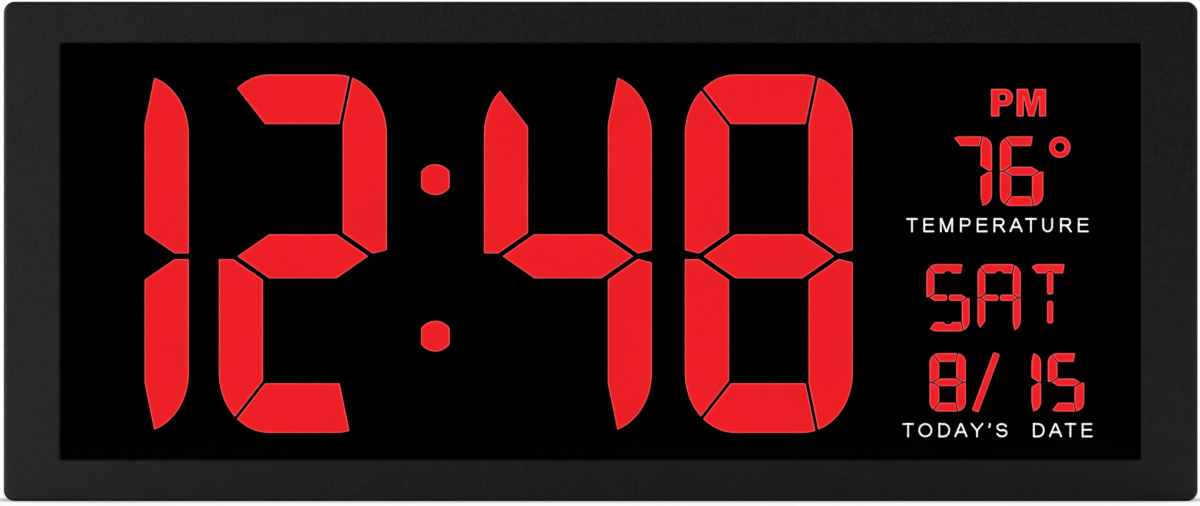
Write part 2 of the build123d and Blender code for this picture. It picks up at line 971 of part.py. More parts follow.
# ------------------------------------------------------------------ light-spreading tiles
tile_nodes = {
    "hour": "hour_segments",
    "minute": "minute_segments",
    "colon": "colon_dots",
    "sign": "afternoon_sign",
    "temperature": "temperature_segments",
    "weekday": "weekday_segments",
    "date": "date_segments",
    "dark": "unlit_segments",
}
tile_back_y = mask_front_y + tile_depth
for group, node in tile_nodes.items():
    # The sign's tile stops at the mask, and only its letters fill the mask's openings.
    body_front_y = mask_back_y if group == "sign" else mask_front_y
    with BuildPart() as tile_set:
        with BuildSketch(at_depth(tile_back_y)):
            for face in tiles[group]:
                add(face)
        extrude(amount=tile_back_y - body_front_y)
        if group == "sign":
            with BuildSketch(at_depth(mask_back_y)):
                add(draw_letters(tile_clearance))
            extrude(amount=mask_thickness)
    save(tile_set, node)

# ------------------------------------------------------------------ display board and what it carries
with BuildPart() as display_board:
    slab(
        0, window_z, display_board_width, display_board_height, reflector_back_y, display_board_back_y
    )
    with BuildSketch(at_depth(display_board_back_y)):
        with Locations(*display_screw_places):
            Circle(display_screw_shank_radius + screw_free_clearance)
        with Locations(*peg_places):
            Circle(peg_radius + peg_clearance)
    extrude(amount=display_board_thickness, mode=Mode.SUBTRACT)
save(display_board, "display_board")


def led_places(face):
    """Where a segment's light sources stand, and whether the segment is upright."""
    box = face.bounding_box()
    centre = face.center()
    upright = box.size.Y > box.size.X
    if face.inner_wires():
        ring_middle = (degree_radius + degree_hole_radius) / 2
        return [(centre.X, centre.Y - ring_middle)], False
    if max(box.size.X, box.size.Y) < time_digit_width / 2:
        return [(centre.X, centre.Y)], upright
    step = big_led_share * max(box.size.X, box.size.Y)
    spots = [
        (centre.X, centre.Y + n * step) if upright else (centre.X + n * step, centre.Y)
        for n in (-1, 0, 1)
    ]
    return spots, upright


with BuildPart() as segment_leds:
    for face in all_openings:
        spots, upright = led_places(face)
        big = face.area > big_led_room * big_led_length * big_led_width
        length = big_led_length if big else small_led_length
        width = big_led_width if big else small_led_width
        height = big_led_height if big else small_led_height
        with BuildSketch(at_depth(reflector_back_y)):
            with Locations(*spots):
                Rectangle(width if upright else length, length if upright else width)
        extrude(amount=height)
save(segment_leds, "segment_leds")

with BuildPart() as driver_chips:
    with BuildSketch(at_depth(display_board_back_y + driver_chip_height)):
        with Locations((0, driver_chip_z)):
            with GridLocations(driver_chip_pitch, 0, driver_chip_count, 1):
                Rectangle(driver_chip_length, driver_chip_width)
    extrude(amount=driver_chip_height)
save(driver_chips, "driver_chips")

with BuildPart() as segment_resistors:
    with BuildSketch(at_depth(display_board_back_y + resistor_height)):
        with Locations((0, resistor_z)):
            with GridLocations(resistor_pitch, 0, resistor_count, 1):
                Rectangle(resistor_width, resistor_length)
    extrude(amount=resistor_height)
save(segment_resistors, "segment_resistors")


def pan_screws(places, seat_y, shank_radius, length, head_radius, head_height, head_towards_back):
    """A set of slotted screws along Y. seat_y is the underside of the heads."""
    way = 1 if head_towards_back else -1
    head_y = seat_y + way * head_height
    tip_y = seat_y - way * length
    slot_y = head_y - way * drive_slot_depth
    with BuildPart() as screws:
        for x, z in places:
            disc(x, z, min(seat_y, head_y), max(seat_y, head_y), head_radius)
            disc(x, z, min(seat_y, tip_y), max(seat_y, tip_y), shank_radius)
        crown = screws.faces().filter_by(Axis.Y).group_by(Axis.Y)[-1 if head_towards_back else 0]
        chamfer(crown.edges(), screw_crown_share * head_height)
        for x, z in places:
            slab(
                x,
                z,
                2 * head_radius,
                drive_slot_width,
                min(slot_y, head_y),
                max(slot_y, head_y),
                mode=Mode.SUBTRACT,
            )
    return screws


display_screws = pan_screws(
    display_screw_places,
    display_board_back_y,
    display_screw_shank_radius,
    display_screw_length,
    display_screw_head_radius,
    display_screw_head_height,
    True,
)
save(display_screws, "display_screws")

cover_screws = pan_screws(
    cover_screw_places,
    cover_seat_y,
    cover_screw_shank_radius,
    cover_screw_length,
    cover_screw_head_radius,
    cover_screw_head_height,
    True,
)
save(cover_screws, "cover_screws")

# ------------------------------------------------------------------ control board
control_board_front_y = control_board_back_y - control_board_thickness
control_boss_x = control_board_width / 2 - control_boss_inset
control_boss_z = control_board_height / 2 - control_boss_inset
control_screw_places = [
    (x * control_boss_x, control_board_z + z * control_boss_z) for x in (-1, 1) for z in (-1, 1)
]

with BuildPart() as control_board:
    slab(
        0,
        control_board_z,
        control_board_width,
        control_board_height,
        control_board_front_y,
        control_board_back_y,
    )
    with BuildSketch(at_depth(control_board_back_y)):
        with Locations(*control_screw_places):
            Circle(control_screw_shank_radius + screw_free_clearance)
    extrude(amount=control_board_thickness, mode=Mode.SUBTRACT)
save(control_board, "control_board")

control_screws = pan_screws(
    control_screw_places,
    control_board_front_y,
    control_screw_shank_radius,
    control_screw_length,
    control_screw_head_radius,
    control_screw_head_height,
    False,
)
save(control_screws, "control_screws")

with BuildPart() as microcontroller:
    slab(
        chip_x,
        chip_z,
        chip_size,
        chip_size,
        control_board_front_y - chip_height,
        control_board_front_y,
    )
    chamfer(microcontroller.edges().filter_by(Axis.Y), chip_corner)
save(microcontroller, "microcontroller")

with BuildPart() as quartz_crystal:
    crystal_axis = Plane(
        origin=(crystal_x, control_board_front_y - crystal_radius, chip_z - crystal_length / 2),
        z_dir=(0, 0, 1),
    )
    with BuildSketch(crystal_axis):
        Circle(crystal_radius)
    extrude(amount=crystal_length)
save(quartz_crystal, "quartz_crystal")

with BuildPart() as capacitors:
    for step in (-0.5, 0.5):
        disc(
            capacitor_x + step * capacitor_spacing,
            capacitor_z,
            control_board_back_y,
            control_board_back_y + capacitor_height,
            capacitor_radius,
        )
save(capacitors, "capacitors")

with BuildPart() as voltage_regulator:
    slab(
        regulator_x,
        regulator_z,
        regulator_width,
        regulator_height,
        control_board_back_y,
        control_board_back_y + regulator_thickness,
    )
save(voltage_regulator, "voltage_regulator")

# ------------------------------------------------------------------ ribbon between the boards
display_ribbon_y = display_board_back_y + header_thickness / 2
control_ribbon_y = control_board_front_y - header_thickness / 2
ribbon_top_z = display_header_z - header_height / 2
ribbon_bottom_z = control_header_z + header_height / 2

with BuildPart() as display_header:
    slab(
        ribbon_x,
        display_header_z,
        header_width,
        header_height,
        display_board_back_y,
        display_board_back_y + header_thickness,
    )
save(display_header, "display_header")

with BuildPart() as control_header:
    slab(
        ribbon_x,
        control_header_z,
        header_width,
        header_height,
        control_board_front_y - header_thickness,
        control_board_front_y,
    )
save(control_header, "control_header")

with BuildPart() as ribbon_cable:
    with BuildLine(Plane.YZ.offset(ribbon_x)):
        FilletPolyline(
            (display_ribbon_y, ribbon_top_z),
            (display_ribbon_y, ribbon_top_z - ribbon_straight),
            (control_ribbon_y, ribbon_bottom_z + ribbon_straight),
            (control_ribbon_y, ribbon_bottom_z),
            radius=ribbon_bend,
        )
    ribbon_end = Plane(
        origin=(ribbon_x, display_ribbon_y, ribbon_top_z), x_dir=(1, 0, 0), z_dir=(0, 0, -1)
    )
    with BuildSketch(ribbon_end):
        Rectangle(ribbon_width, ribbon_thickness)
    sweep()
save(ribbon_cable, "ribbon_cable")

# ------------------------------------------------------------------ buttons and their switches
panel_floor_y = back_y - panel_depth
panel_inner_y = panel_floor_y - wall
switch_top_y = control_board_back_y + switch_height
flange_back_y = panel_inner_y - button_flange_gap
flange_front_y = flange_back_y - button_flange_thickness
button_places = [(button_first_x + n * button_pitch, panel_z) for n in range(len(button_names))]

with BuildPart() as switch_bodies:
    with BuildSketch(at_depth(switch_top_y)):
        with Locations(*button_places):
            Rectangle(switch_size, switch_size)
    extrude(amount=switch_height)
    with BuildSketch(at_depth(switch_top_y)):
        with Locations(*button_places):
            Circle(switch_stem_radius + switch_stem_clearance)
    extrude(amount=switch_stem_depth + button_travel + switch_well_gap, mode=Mode.SUBTRACT)
save(switch_bodies, "switch_bodies")

for name, (x, z) in zip(button_names, button_places):
    with BuildPart() as button:
        with BuildSketch(facing_front(x, z, flange_back_y)):
            SlotOverall(button_width + 2 * button_flange, button_height + 2 * button_flange)
        extrude(amount=button_flange_thickness)
        with BuildSketch(facing_front(x, z, panel_floor_y + button_proud)):
            SlotOverall(button_width, button_height)
        extrude(amount=panel_floor_y + button_proud - flange_back_y)
        fillet(button.faces().sort_by(Axis.Y)[-1].edges(), button_edge)
    save(button, f"{name}_button")
    with BuildPart() as stem:
        disc(x, z, switch_top_y - switch_stem_depth, flange_front_y, switch_stem_radius)
    save(stem, f"{name}_switch_stem")

# ------------------------------------------------------------------ dimmer
dimmer_slot_length = dimmer_thumb_length + 2 * (dimmer_travel + dimmer_slot_clearance)
dimmer_slot_width = dimmer_thumb_width + 2 * dimmer_slot_clearance
dimmer_top_y = control_board_back_y + dimmer_switch_height
dimmer_flange_back_y = panel_inner_y - button_flange_gap
dimmer_flange_front_y = dimmer_flange_back_y - dimmer_flange_thickness

with BuildPart() as dimmer_switch_body:
    slab(
        dimmer_x,
        panel_z,
        dimmer_switch_length,
        dimmer_switch_width,
        control_board_back_y,
        dimmer_top_y,
    )
    slab(
        dimmer_x,
        panel_z,
        dimmer_stem_length + 2 * (dimmer_travel + dimmer_slot_clearance),
        dimmer_stem_width + 2 * dimmer_slot_clearance,
        dimmer_top_y - dimmer_stem_engagement - dimmer_slot_clearance,
        dimmer_top_y,
        mode=Mode.SUBTRACT,
    )
save(dimmer_switch_body, "dimmer_switch_body")

with BuildPart() as dimmer_slider:
    slab(
        dimmer_x,
        panel_z,
        dimmer_slot_length + 2 * dimmer_flange_margin,
        dimmer_slot_width + 2 * dimmer_flange_margin,
        dimmer_flange_front_y,
        dimmer_flange_back_y,
    )
    slab(
        dimmer_x,
        panel_z,
        dimmer_stem_length,
        dimmer_stem_width,
        dimmer_top_y - dimmer_stem_engagement,
        dimmer_flange_front_y,
    )
    thumb_back_y = panel_floor_y + dimmer_thumb_proud
    slab(dimmer_x, panel_z, dimmer_thumb_length, dimmer_thumb_width, dimmer_flange_back_y, thumb_back_y)
    with BuildSketch(at_depth(thumb_back_y)):
        with Locations((dimmer_x, panel_z)):
            with GridLocations(dimmer_thumb_length / dimmer_grip_count, 0, dimmer_grip_count, 1):
                Rectangle(dimmer_grip_depth, dimmer_thumb_width)
    extrude(amount=dimmer_grip_depth, mode=Mode.SUBTRACT)
save(dimmer_slider, "dimmer_slider")

# ------------------------------------------------------------------ backup cell, holder and cap
cell_front_y = control_board_back_y + holder_floor
cell_back_y = cell_front_y + cell_thickness
holder_back_y = cell_back_y + holder_lip
holder_radius = cell_radius + cell_clearance + holder_wall

with BuildPart() as cell_holder:
    disc(cell_x, cell_z, control_board_back_y, holder_back_y, holder_radius)
    disc(cell_x, cell_z, cell_front_y, holder_back_y, cell_radius + cell_clearance, Mode.SUBTRACT)
    slab(
        cell_x,
        cell_z,
        2 * holder_radius,
        contact_width + 2 * cell_clearance,
        cell_front_y,
        holder_back_y,
        mode=Mode.SUBTRACT,
    )
save(cell_holder, "cell_holder")

with BuildPart() as coin_cell:
    disc(cell_x, cell_z, cell_front_y, cell_back_y, cell_radius)
    chamfer(coin_cell.faces().sort_by(Axis.Y)[0].edges(), cell_rim_bevel)
save(coin_cell, "coin_cell")

# Spring strip at each side that rises from the board and hooks over the cell's rim.
with BuildPart() as cell_contacts:
    for side in (-1, 1):
        outside = side * (cell_radius + cell_clearance + contact_thickness)
        over_cell = side * (cell_radius + cell_clearance + contact_thickness - contact_reach)
        with BuildSketch(Plane.XY.offset(cell_z - contact_width / 2)):
            with BuildLine():
                Polyline(
                    (cell_x + outside, cell_front_y),
                    (cell_x + outside, cell_back_y + contact_thickness),
                    (cell_x + over_cell, cell_back_y + contact_thickness),
                    (cell_x + over_cell, cell_back_y),
                    (cell_x + outside - side * contact_thickness, cell_back_y),
                    (cell_x + outside - side * contact_thickness, cell_front_y),
                    close=True,
                )
            make_face()
        extrude(amount=contact_width)
save(cell_contacts, "cell_contacts")

cap_back_y = back_y - cap_recess
cap_disc_front_y = cap_back_y - cap_disc_thickness
ledge_back_y = cap_disc_front_y - cap_seat_gap
ledge_front_y = ledge_back_y - cap_ledge_thickness
lug_back_y = ledge_front_y - cap_lug_gap
lug_front_y = lug_back_y - cap_lug_thickness


def ring_sector(inner_radius, outer_radius, start, sweep_angle):
    """Adds a sector of a ring about the sketch's origin to the sketch being drawn."""
    a, b, c = (radians(start + share * sweep_angle) for share in (0, 0.5, 1))
    with BuildLine() as outline:
        outer = ThreePointArc(*((outer_radius * cos(t), outer_radius * sin(t)) for t in (a, b, c)))
        inner = ThreePointArc(*((inner_radius * cos(t), inner_radius * sin(t)) for t in (a, b, c)))
        Line(outer @ 0, inner @ 0)
        Line(outer @ 1, inner @ 1)
    make_face(outline.edges())


lug_starts = [90 - cap_lug_angle / 2 + n * 360 / cap_lug_count for n in range(cap_lug_count)]
# The cap unlocks by turning about +Y, which is clockwise on a plane that faces the front.
notch_starts = [
    90 - cap_notch_angle / 2 - cap_unlock_angle + n * 360 / cap_lug_count
    for n in range(cap_lug_count)
]

with BuildPart() as battery_cap:
    disc(cell_x, cell_z, cap_disc_front_y, cap_back_y, cap_radius)
    fillet(battery_cap.faces().sort_by(Axis.Y)[-1].edges(), cap_edge)
    disc(cell_x, cell_z, lug_front_y, cap_disc_front_y, cap_skirt_radius)
    with BuildSketch(facing_front(cell_x, cell_z, lug_back_y)):
        for start in lug_starts:
            ring_sector(
                cap_skirt_radius - cap_skirt_wall / 2,
                cap_skirt_radius + cap_lug_reach,
                start,
                cap_lug_angle,
            )
    extrude(amount=cap_lug_thickness)
    disc(
        cell_x,
        cell_z,
        lug_front_y,
        cap_disc_front_y,
        cap_skirt_radius - cap_skirt_wall,
        Mode.SUBTRACT,
    )
    with BuildSketch(facing_front(cell_x, cell_z, cap_back_y)):
        SlotOverall(cap_slot_length, cap_slot_width)
    extrude(amount=cap_slot_depth, mode=Mode.SUBTRACT)
save(battery_cap, "battery_cap")

# ------------------------------------------------------------------ power inlet
inlet_mouth_z = channel_end_z + inlet_mouth_gap
inlet_body_z = channel_end_z + wall + inlet_body_gap
inlet_axis = Plane(origin=(inlet_x, inlet_y, inlet_mouth_z), z_dir=(0, 0, 1))

with BuildPart() as inlet_body:
    with BuildSketch(Plane(origin=(inlet_x, 0, inlet_body_z), z_dir=(0, 0, 1))):
        with Locations((0, inlet_y)):
            Rectangle(inlet_body_width, 2 * (inlet_y - control_board_back_y))
    extrude(amount=inlet_body_length)
    with BuildSketch(inlet_axis):
        Circle(inlet_nose_radius)
    extrude(amount=inlet_body_z - inlet_mouth_z)
    with BuildSketch(inlet_axis):
        Circle(inlet_bore_radius)
    extrude(amount=inlet_bore_depth, mode=Mode.SUBTRACT)
save(inlet_body, "inlet_body")

with BuildPart() as inlet_pin:
    with BuildSketch(inlet_axis.offset(inlet_pin_setback)):
        Circle(inlet_pin_radius)
    extrude(amount=inlet_bore_depth - inlet_pin_setback)
    fillet(inlet_pin.faces().sort_by(Axis.Z)[0].edges(), inlet_pin_round)
save(inlet_pin, "inlet_pin")

# ------------------------------------------------------------------ thermistor
with BuildPart() as thermistor:
    lead_x = control_board_width / 2 - thermistor_inset
    for side in (-1, 1):
        lead_z = side_vent_z + side * thermistor_lead_gap / 2
        with BuildLine(Plane.XY.offset(lead_z)) as lead_line:
            FilletPolyline(
                (lead_x, control_board_back_y),
                (lead_x, thermistor_y),
                (side_vent_x, thermistor_y),
                radius=thermistor_lead_bend,
            )
        with BuildSketch(Plane(origin=lead_line.line @ 0, z_dir=lead_line.line % 0)):
            Rectangle(thermistor_lead_width, thermistor_lead_width)
        sweep()
    with Locations((side_vent_x, thermistor_y, side_vent_z)):
        Sphere(thermistor_bead_radius)
save(thermistor, "thermistor")

# ------------------------------------------------------------------ legs
# The leg is open when its pad's outer edge reaches the level of the underside.
pad_edge_z = leg_length - pad_tip_margin
pad_face = leg_rear_thickness + pad_proud
pad_reach = hypot(pad_edge_z, pad_face)
leg_open_angle = degrees(acos(-hinge_z / pad_reach) - atan2(pad_face, pad_edge_z))

pocket_floor_y = hinge_y - leg_rear_thickness - leg_floor_clearance
pocket_width = leg_width + 2 * leg_side_clearance
pocket_top_z = hinge_z + leg_length + leg_tip_clearance
# Height at which the open leg's outer face crosses the back face, less the gap at the stop.
open_lean = radians(leg_open_angle - 90)
leg_sill_z = (
    hinge_z
    - leg_rear_thickness / cos(open_lean)
    - (back_y - hinge_y) * sin(open_lean) / cos(open_lean)
    - leg_stop_gap
)


def build_leg(x):
    """One leg, folded up into the back."""
    with BuildPart() as leg:
        with BuildSketch(Plane.YZ.offset(x - leg_width / 2)):
            with Locations((hinge_y, hinge_z)):
                Circle(leg_rear_thickness)
                Polygon(
                    (-leg_front_thickness, 0),
                    (leg_rear_thickness, 0),
                    (leg_rear_thickness, leg_length),
                    (-leg_tip_front_thickness, leg_length),
                    align=None,
                )
        extrude(amount=leg_width)
        tip_edges = leg.faces().sort_by(Axis.Z)[-1].edges().filter_by(Axis.X)
        fillet(tip_edges, leg_tip_radius)
        # Hollow underside with one cross rib.
        hollow_length = leg_length - leg_hollow_start - 2 * leg_hollow_wall
        hollow_width = leg_width - 2 * leg_hollow_wall
        hollow_z = hinge_z + leg_hollow_start + hollow_length / 2
        floor_y = hinge_y + leg_rear_thickness - leg_hollow_floor
        slab(
            x,
            hollow_z,
            hollow_width,
            hollow_length,
            hinge_y - leg_front_thickness,
            floor_y,
            leg_hollow_corner,
            Mode.SUBTRACT,
        )
        slab(x, hollow_z, hollow_width, leg_rib_thickness, hinge_y - leg_tip_front_thickness, floor_y)
        # Seat for the pad.
        pad_z = hinge_z + pad_edge_z - pad_length / 2
        slab(
            x,
            pad_z,
            pad_width + 2 * pad_clearance,
            pad_length + 2 * pad_clearance,
            hinge_y + leg_rear_thickness + pad_proud - pad_thickness,
            hinge_y + leg_rear_thickness,
            pad_corner + pad_clearance,
            Mode.SUBTRACT,
        )
        with BuildSketch(Plane.YZ.offset(x - leg_width / 2)):
            with Locations((hinge_y, hinge_z)):
                Circle(hinge_pin_radius + hinge_running_clearance)
        extrude(amount=leg_width, mode=Mode.SUBTRACT)
    return leg


def build_pad(x):
    """Rubber pad near the leg's tip."""
    with BuildPart() as pad:
        pad_back_y = hinge_y + leg_rear_thickness + pad_proud
        pad_z = hinge_z + pad_edge_z - pad_length / 2
        slab(x, pad_z, pad_width, pad_length, pad_back_y - pad_thickness, pad_back_y, pad_corner)
    return pad


for side_name, side in (("left", -1), ("right", 1)):
    save(build_leg(side * leg_x), f"{side_name}_leg")
    save(build_pad(side * leg_x), f"{side_name}_leg_pad")

with BuildPart() as hinge_pins:
    for side in (-1, 1):
        with BuildSketch(Plane.YZ.offset(side * leg_x - pocket_width / 2 - wall)):
            with Locations((hinge_y, hinge_z)):
                Circle(hinge_pin_radius)
        extrude(amount=pocket_width + 2 * wall)
save(hinge_pins, "hinge_pins")

# ------------------------------------------------------------------ rear cover
with BuildPart() as rear_cover:
    slab(0, middle_z, body_width, body_height, seam_y, back_y, body_corner)
    fillet(rear_cover.faces().sort_by(Axis.Y)[-1].edges(), rear_edge)
    chamfer(rear_cover.faces().sort_by(Axis.Y)[0].edges(), seam_bevel)
    slab(
        0,
        middle_z,
        body_width - 2 * wall,
        body_height - 2 * wall,
        seam_y,
        back_wall_y,
        body_corner - wall,
        Mode.SUBTRACT,
    )
    # Tongue round the rim: its root joins the wall, its lip clears the front shell.
    tongue_inset = wall + tongue_clearance
    for outer_inset, y_front, y_back in (
        (wall - tongue_bite, seam_y, seam_y + tongue_height / 2),
        (tongue_inset, seam_y - tongue_height, seam_y),
    ):
        inner_inset = tongue_inset + tongue_thickness
        with BuildSketch(at_depth(y_back)):
            with Locations((0, middle_z)):
                RectangleRounded(
                    body_width - 2 * outer_inset, body_height - 2 * outer_inset, body_corner - wall
                )
                Rectangle(
                    body_width - 2 * inner_inset, body_height - 2 * inner_inset, mode=Mode.SUBTRACT
                )
        extrude(amount=y_back - y_front)
    with BuildSketch(at_depth(cover_well_front_y)):
        with Locations(*cover_screw_places):
            Circle(cover_boss_radius + tongue_clearance)
    extrude(amount=cover_well_front_y - seam_y + tongue_height, mode=Mode.SUBTRACT)
    # Walls of everything that is sunk into the back, before it is cut.
    for side in (-1, 1):
        with BuildSketch(at_depth(back_wall_y)):
            with Locations((side * leg_x, (leg_sill_z + pocket_top_z) / 2)):
                Rectangle(pocket_width + 2 * wall, pocket_top_z - leg_sill_z + 2 * wall)
        extrude(amount=back_wall_y - pocket_floor_y + wall)
        notch_z = pocket_top_z + finger_notch_height / 2
        slab(
            side * leg_x,
            notch_z,
            finger_notch_width + 2 * wall,
            finger_notch_height + 2 * wall,
            back_y - finger_notch_depth - wall,
            back_wall_y,
        )
        pocket_height = keyhole_rise + keyhole_head_radius + keyhole_slot_width / 2
        pocket_height += 2 * keyhole_pocket_margin
        slab(
            side * keyhole_spacing / 2,
            keyhole_z + (keyhole_rise + keyhole_slot_width / 2 - keyhole_head_radius) / 2,
            2 * (keyhole_head_radius + keyhole_pocket_margin + keyhole_pocket_wall),
            pocket_height + 2 * keyhole_pocket_wall,
            back_wall_y - keyhole_pocket_depth - keyhole_pocket_wall,
            back_wall_y,
        )
    slab(
        panel_x,
        panel_z,
        panel_width + 2 * wall,
        panel_height + 2 * wall,
        panel_inner_y,
        back_wall_y,
        panel_corner + wall,
    )
    disc(
        cell_x,
        cell_z,
        ledge_front_y,
        back_wall_y,
        cap_radius + cap_clearance + cap_boss_margin,
    )
    channel_floor_y = back_y - channel_depth
    slab(
        inlet_x,
        (channel_end_z + wall) / 2,
        channel_width + 2 * wall,
        channel_end_z + wall,
        channel_floor_y - wall,
        back_wall_y,
    )
    with BuildSketch(at_depth(back_wall_y)):
        with Locations(*cover_screw_places):
            Circle(cover_well_radius)
    extrude(amount=back_wall_y - cover_well_front_y)
    with BuildSketch(at_depth(back_wall_y)):
        with Locations(*control_screw_places):
            Circle(control_boss_radius)
    extrude(amount=back_wall_y - control_board_back_y)
    # What the wells and walls add outside the shell is trimmed to its outline.
    with BuildSketch(at_depth(back_y)):
        with Locations((0, middle_z)):
            RectangleRounded(2 * body_width, 2 * body_height, body_corner)
            RectangleRounded(body_width, body_height, body_corner, mode=Mode.SUBTRACT)
    extrude(amount=body_depth, mode=Mode.SUBTRACT)
    # Leg pockets, finger notches and hinge bores.
    for side in (-1, 1):
        with BuildSketch(at_depth(back_y)):
            with Locations((side * leg_x, (leg_sill_z + pocket_top_z) / 2)):
                Rectangle(pocket_width, pocket_top_z - leg_sill_z)
        extrude(amount=back_y - pocket_floor_y, mode=Mode.SUBTRACT)
        slab(
            side * leg_x,
            pocket_top_z + finger_notch_height / 2 - finger_notch_corner,
            finger_notch_width,
            finger_notch_height + 2 * finger_notch_corner,
            back_y - finger_notch_depth,
            back_y,
            finger_notch_corner,
            Mode.SUBTRACT,
        )
        with BuildSketch(Plane.YZ.offset(side * leg_x - pocket_width / 2 - wall)):
            with Locations((hinge_y, hinge_z)):
                Circle(hinge_pin_radius + hinge_pin_fit)
        extrude(amount=pocket_width + 2 * wall, mode=Mode.SUBTRACT)
    # Keyholes: the screw's head goes in at the round end and the clock drops onto its neck.
    for side in (-1, 1):
        hole_x = side * keyhole_spacing / 2
        slab(
            hole_x,
            keyhole_z + (keyhole_rise + keyhole_slot_width / 2 - keyhole_head_radius) / 2,
            2 * (keyhole_head_radius + keyhole_pocket_margin),
            pocket_height,
            back_wall_y - keyhole_pocket_depth,
            back_wall_y,
            mode=Mode.SUBTRACT,
        )
        with BuildSketch(at_depth(back_y)):
            with Locations((hole_x, keyhole_z)):
                Circle(keyhole_head_radius)
            with Locations((hole_x, keyhole_z + keyhole_rise)):
                Circle(keyhole_slot_width / 2)
            with Locations((hole_x, keyhole_z + keyhole_rise / 2)):
                Rectangle(keyhole_slot_width, keyhole_rise)
        extrude(amount=wall, mode=Mode.SUBTRACT)
    # Button panel with its openings.
    slab(
        panel_x,
        panel_z,
        panel_width,
        panel_height,
        panel_floor_y,
        back_y,
        panel_corner,
        Mode.SUBTRACT,
    )
    with BuildSketch(at_depth(panel_floor_y)):
        with Locations(*button_places):
            SlotOverall(button_width + 2 * button_clearance, button_height + 2 * button_clearance)
        with Locations((dimmer_x, panel_z)):
            Rectangle(dimmer_slot_length, dimmer_slot_width)
    extrude(amount=wall, mode=Mode.SUBTRACT)
    # Seat of the battery cap: recess, ledge and the notches that let its lugs through.
    disc(cell_x, cell_z, ledge_back_y, back_y, cap_radius + cap_clearance, Mode.SUBTRACT)
    disc(cell_x, cell_z, ledge_front_y, ledge_back_y, cap_skirt_radius + cap_clearance, Mode.SUBTRACT)
    with BuildSketch(facing_front(cell_x, cell_z, ledge_back_y)):
        for start in notch_starts:
            ring_sector(
                cap_skirt_radius - cap_skirt_wall,
                cap_skirt_radius + cap_lug_reach + cap_clearance,
                start,
                cap_notch_angle,
            )
    extrude(amount=cap_ledge_thickness, mode=Mode.SUBTRACT)
    # Channel for the power plug, open to the back and to the underside.
    with BuildSketch(at_depth(back_y)):
        with Locations((inlet_x, 0)):
            RectangleRounded(channel_width, 2 * channel_end_z, channel_corner)
    extrude(amount=channel_depth, mode=Mode.SUBTRACT)
    with BuildSketch(Plane(origin=(inlet_x, inlet_y, channel_end_z), z_dir=(0, 0, 1))):
        Circle(inlet_nose_radius + inlet_nose_clearance)
    extrude(amount=wall, mode=Mode.SUBTRACT)
    # Screw wells.
    with BuildSketch(at_depth(back_y)):
        with Locations(*cover_screw_places):
            Circle(cover_well_bore_radius)
    extrude(amount=back_y - cover_seat_y, mode=Mode.SUBTRACT)
    with BuildSketch(at_depth(cover_seat_y)):
        with Locations(*cover_screw_places):
            Circle(cover_screw_shank_radius + screw_free_clearance)
    extrude(amount=cover_seat_thickness, mode=Mode.SUBTRACT)
    with BuildSketch(at_depth(control_board_back_y)):
        with Locations(*control_screw_places):
            Circle(control_screw_shank_radius + screw_clearance)
    extrude(
        amount=-(control_screw_length - control_board_thickness + screw_end_gap / 2),
        mode=Mode.SUBTRACT,
    )
    # Air slots: beside the thermistor, mirrored, and along the top.
    with BuildSketch(at_depth(back_y)):
        with Locations((-side_vent_x, side_vent_z), (side_vent_x, side_vent_z)):
            with GridLocations(vent_pitch, 0, side_vent_count, 1):
                SlotOverall(vent_height, vent_width, rotation=90)
        with Locations((0, top_vent_z)):
            with GridLocations(vent_pitch, 0, top_vent_count, 1):
                SlotOverall(vent_height, vent_width, rotation=90)
    extrude(amount=wall, mode=Mode.SUBTRACT)
save(rear_cover, "rear_cover")
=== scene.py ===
"""Looks of the large-digit LED day clock.

The clock stands in the frame that the CAD model sets: X to the right as the display is read, Y towards
the back, Z up, in metres, with the origin at the centre of the underside. The solids keep their shapes.
This script gives each of them its finish, prints the captions, raises the marks on the controls and
sets up the studio.
"""

import logging
import math
from dataclasses import dataclass, field
from enum import Enum
from functools import cache
from typing import Any

import bmesh
import bpy
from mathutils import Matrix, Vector

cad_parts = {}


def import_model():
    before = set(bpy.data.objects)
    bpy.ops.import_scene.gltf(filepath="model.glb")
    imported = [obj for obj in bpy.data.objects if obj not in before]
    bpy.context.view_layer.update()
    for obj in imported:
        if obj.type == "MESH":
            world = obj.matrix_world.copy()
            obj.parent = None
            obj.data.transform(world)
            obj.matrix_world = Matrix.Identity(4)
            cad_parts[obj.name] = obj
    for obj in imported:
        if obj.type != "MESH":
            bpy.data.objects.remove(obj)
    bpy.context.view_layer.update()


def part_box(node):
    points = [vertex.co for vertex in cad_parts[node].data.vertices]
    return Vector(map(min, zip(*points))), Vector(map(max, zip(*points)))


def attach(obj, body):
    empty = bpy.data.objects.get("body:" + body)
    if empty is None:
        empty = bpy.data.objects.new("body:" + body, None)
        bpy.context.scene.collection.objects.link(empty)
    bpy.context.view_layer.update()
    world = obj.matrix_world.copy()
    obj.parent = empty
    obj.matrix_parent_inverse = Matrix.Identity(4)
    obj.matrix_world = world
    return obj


log = logging.getLogger("day_clock")

MM = 0.001
ROOT_BODY = "housing"
KEYS = ("set", "plus", "minus", "unit")

# Sockets of a Mix node: its share, the numbers and the colours it mixes, and the mixed colour.
SHARE, NUMBER_A, NUMBER_B, COLOUR_A, COLOUR_B, MIXED_COLOUR = 0, 2, 3, 6, 7, 2
# Nearly all of a noise lies in this span, which is stretched to the range that is wanted.
NOISE_SPAN = {"From Min": 0.3, "From Max": 0.7}
# Two noises mixed vary less.
MIXED_SPAN = {"From Min": 0.35, "From Max": 0.65}
# Likeness of the rounded and the true surface direction where an edge begins and where it is full.
EDGE_SPAN = {"From Min": 0.995, "From Max": 0.93}
# Rays from each point that feel for an edge and for the open sky.
EDGE_RAYS, SKY_RAYS = 6, 8
WHITE = "#ffffff"

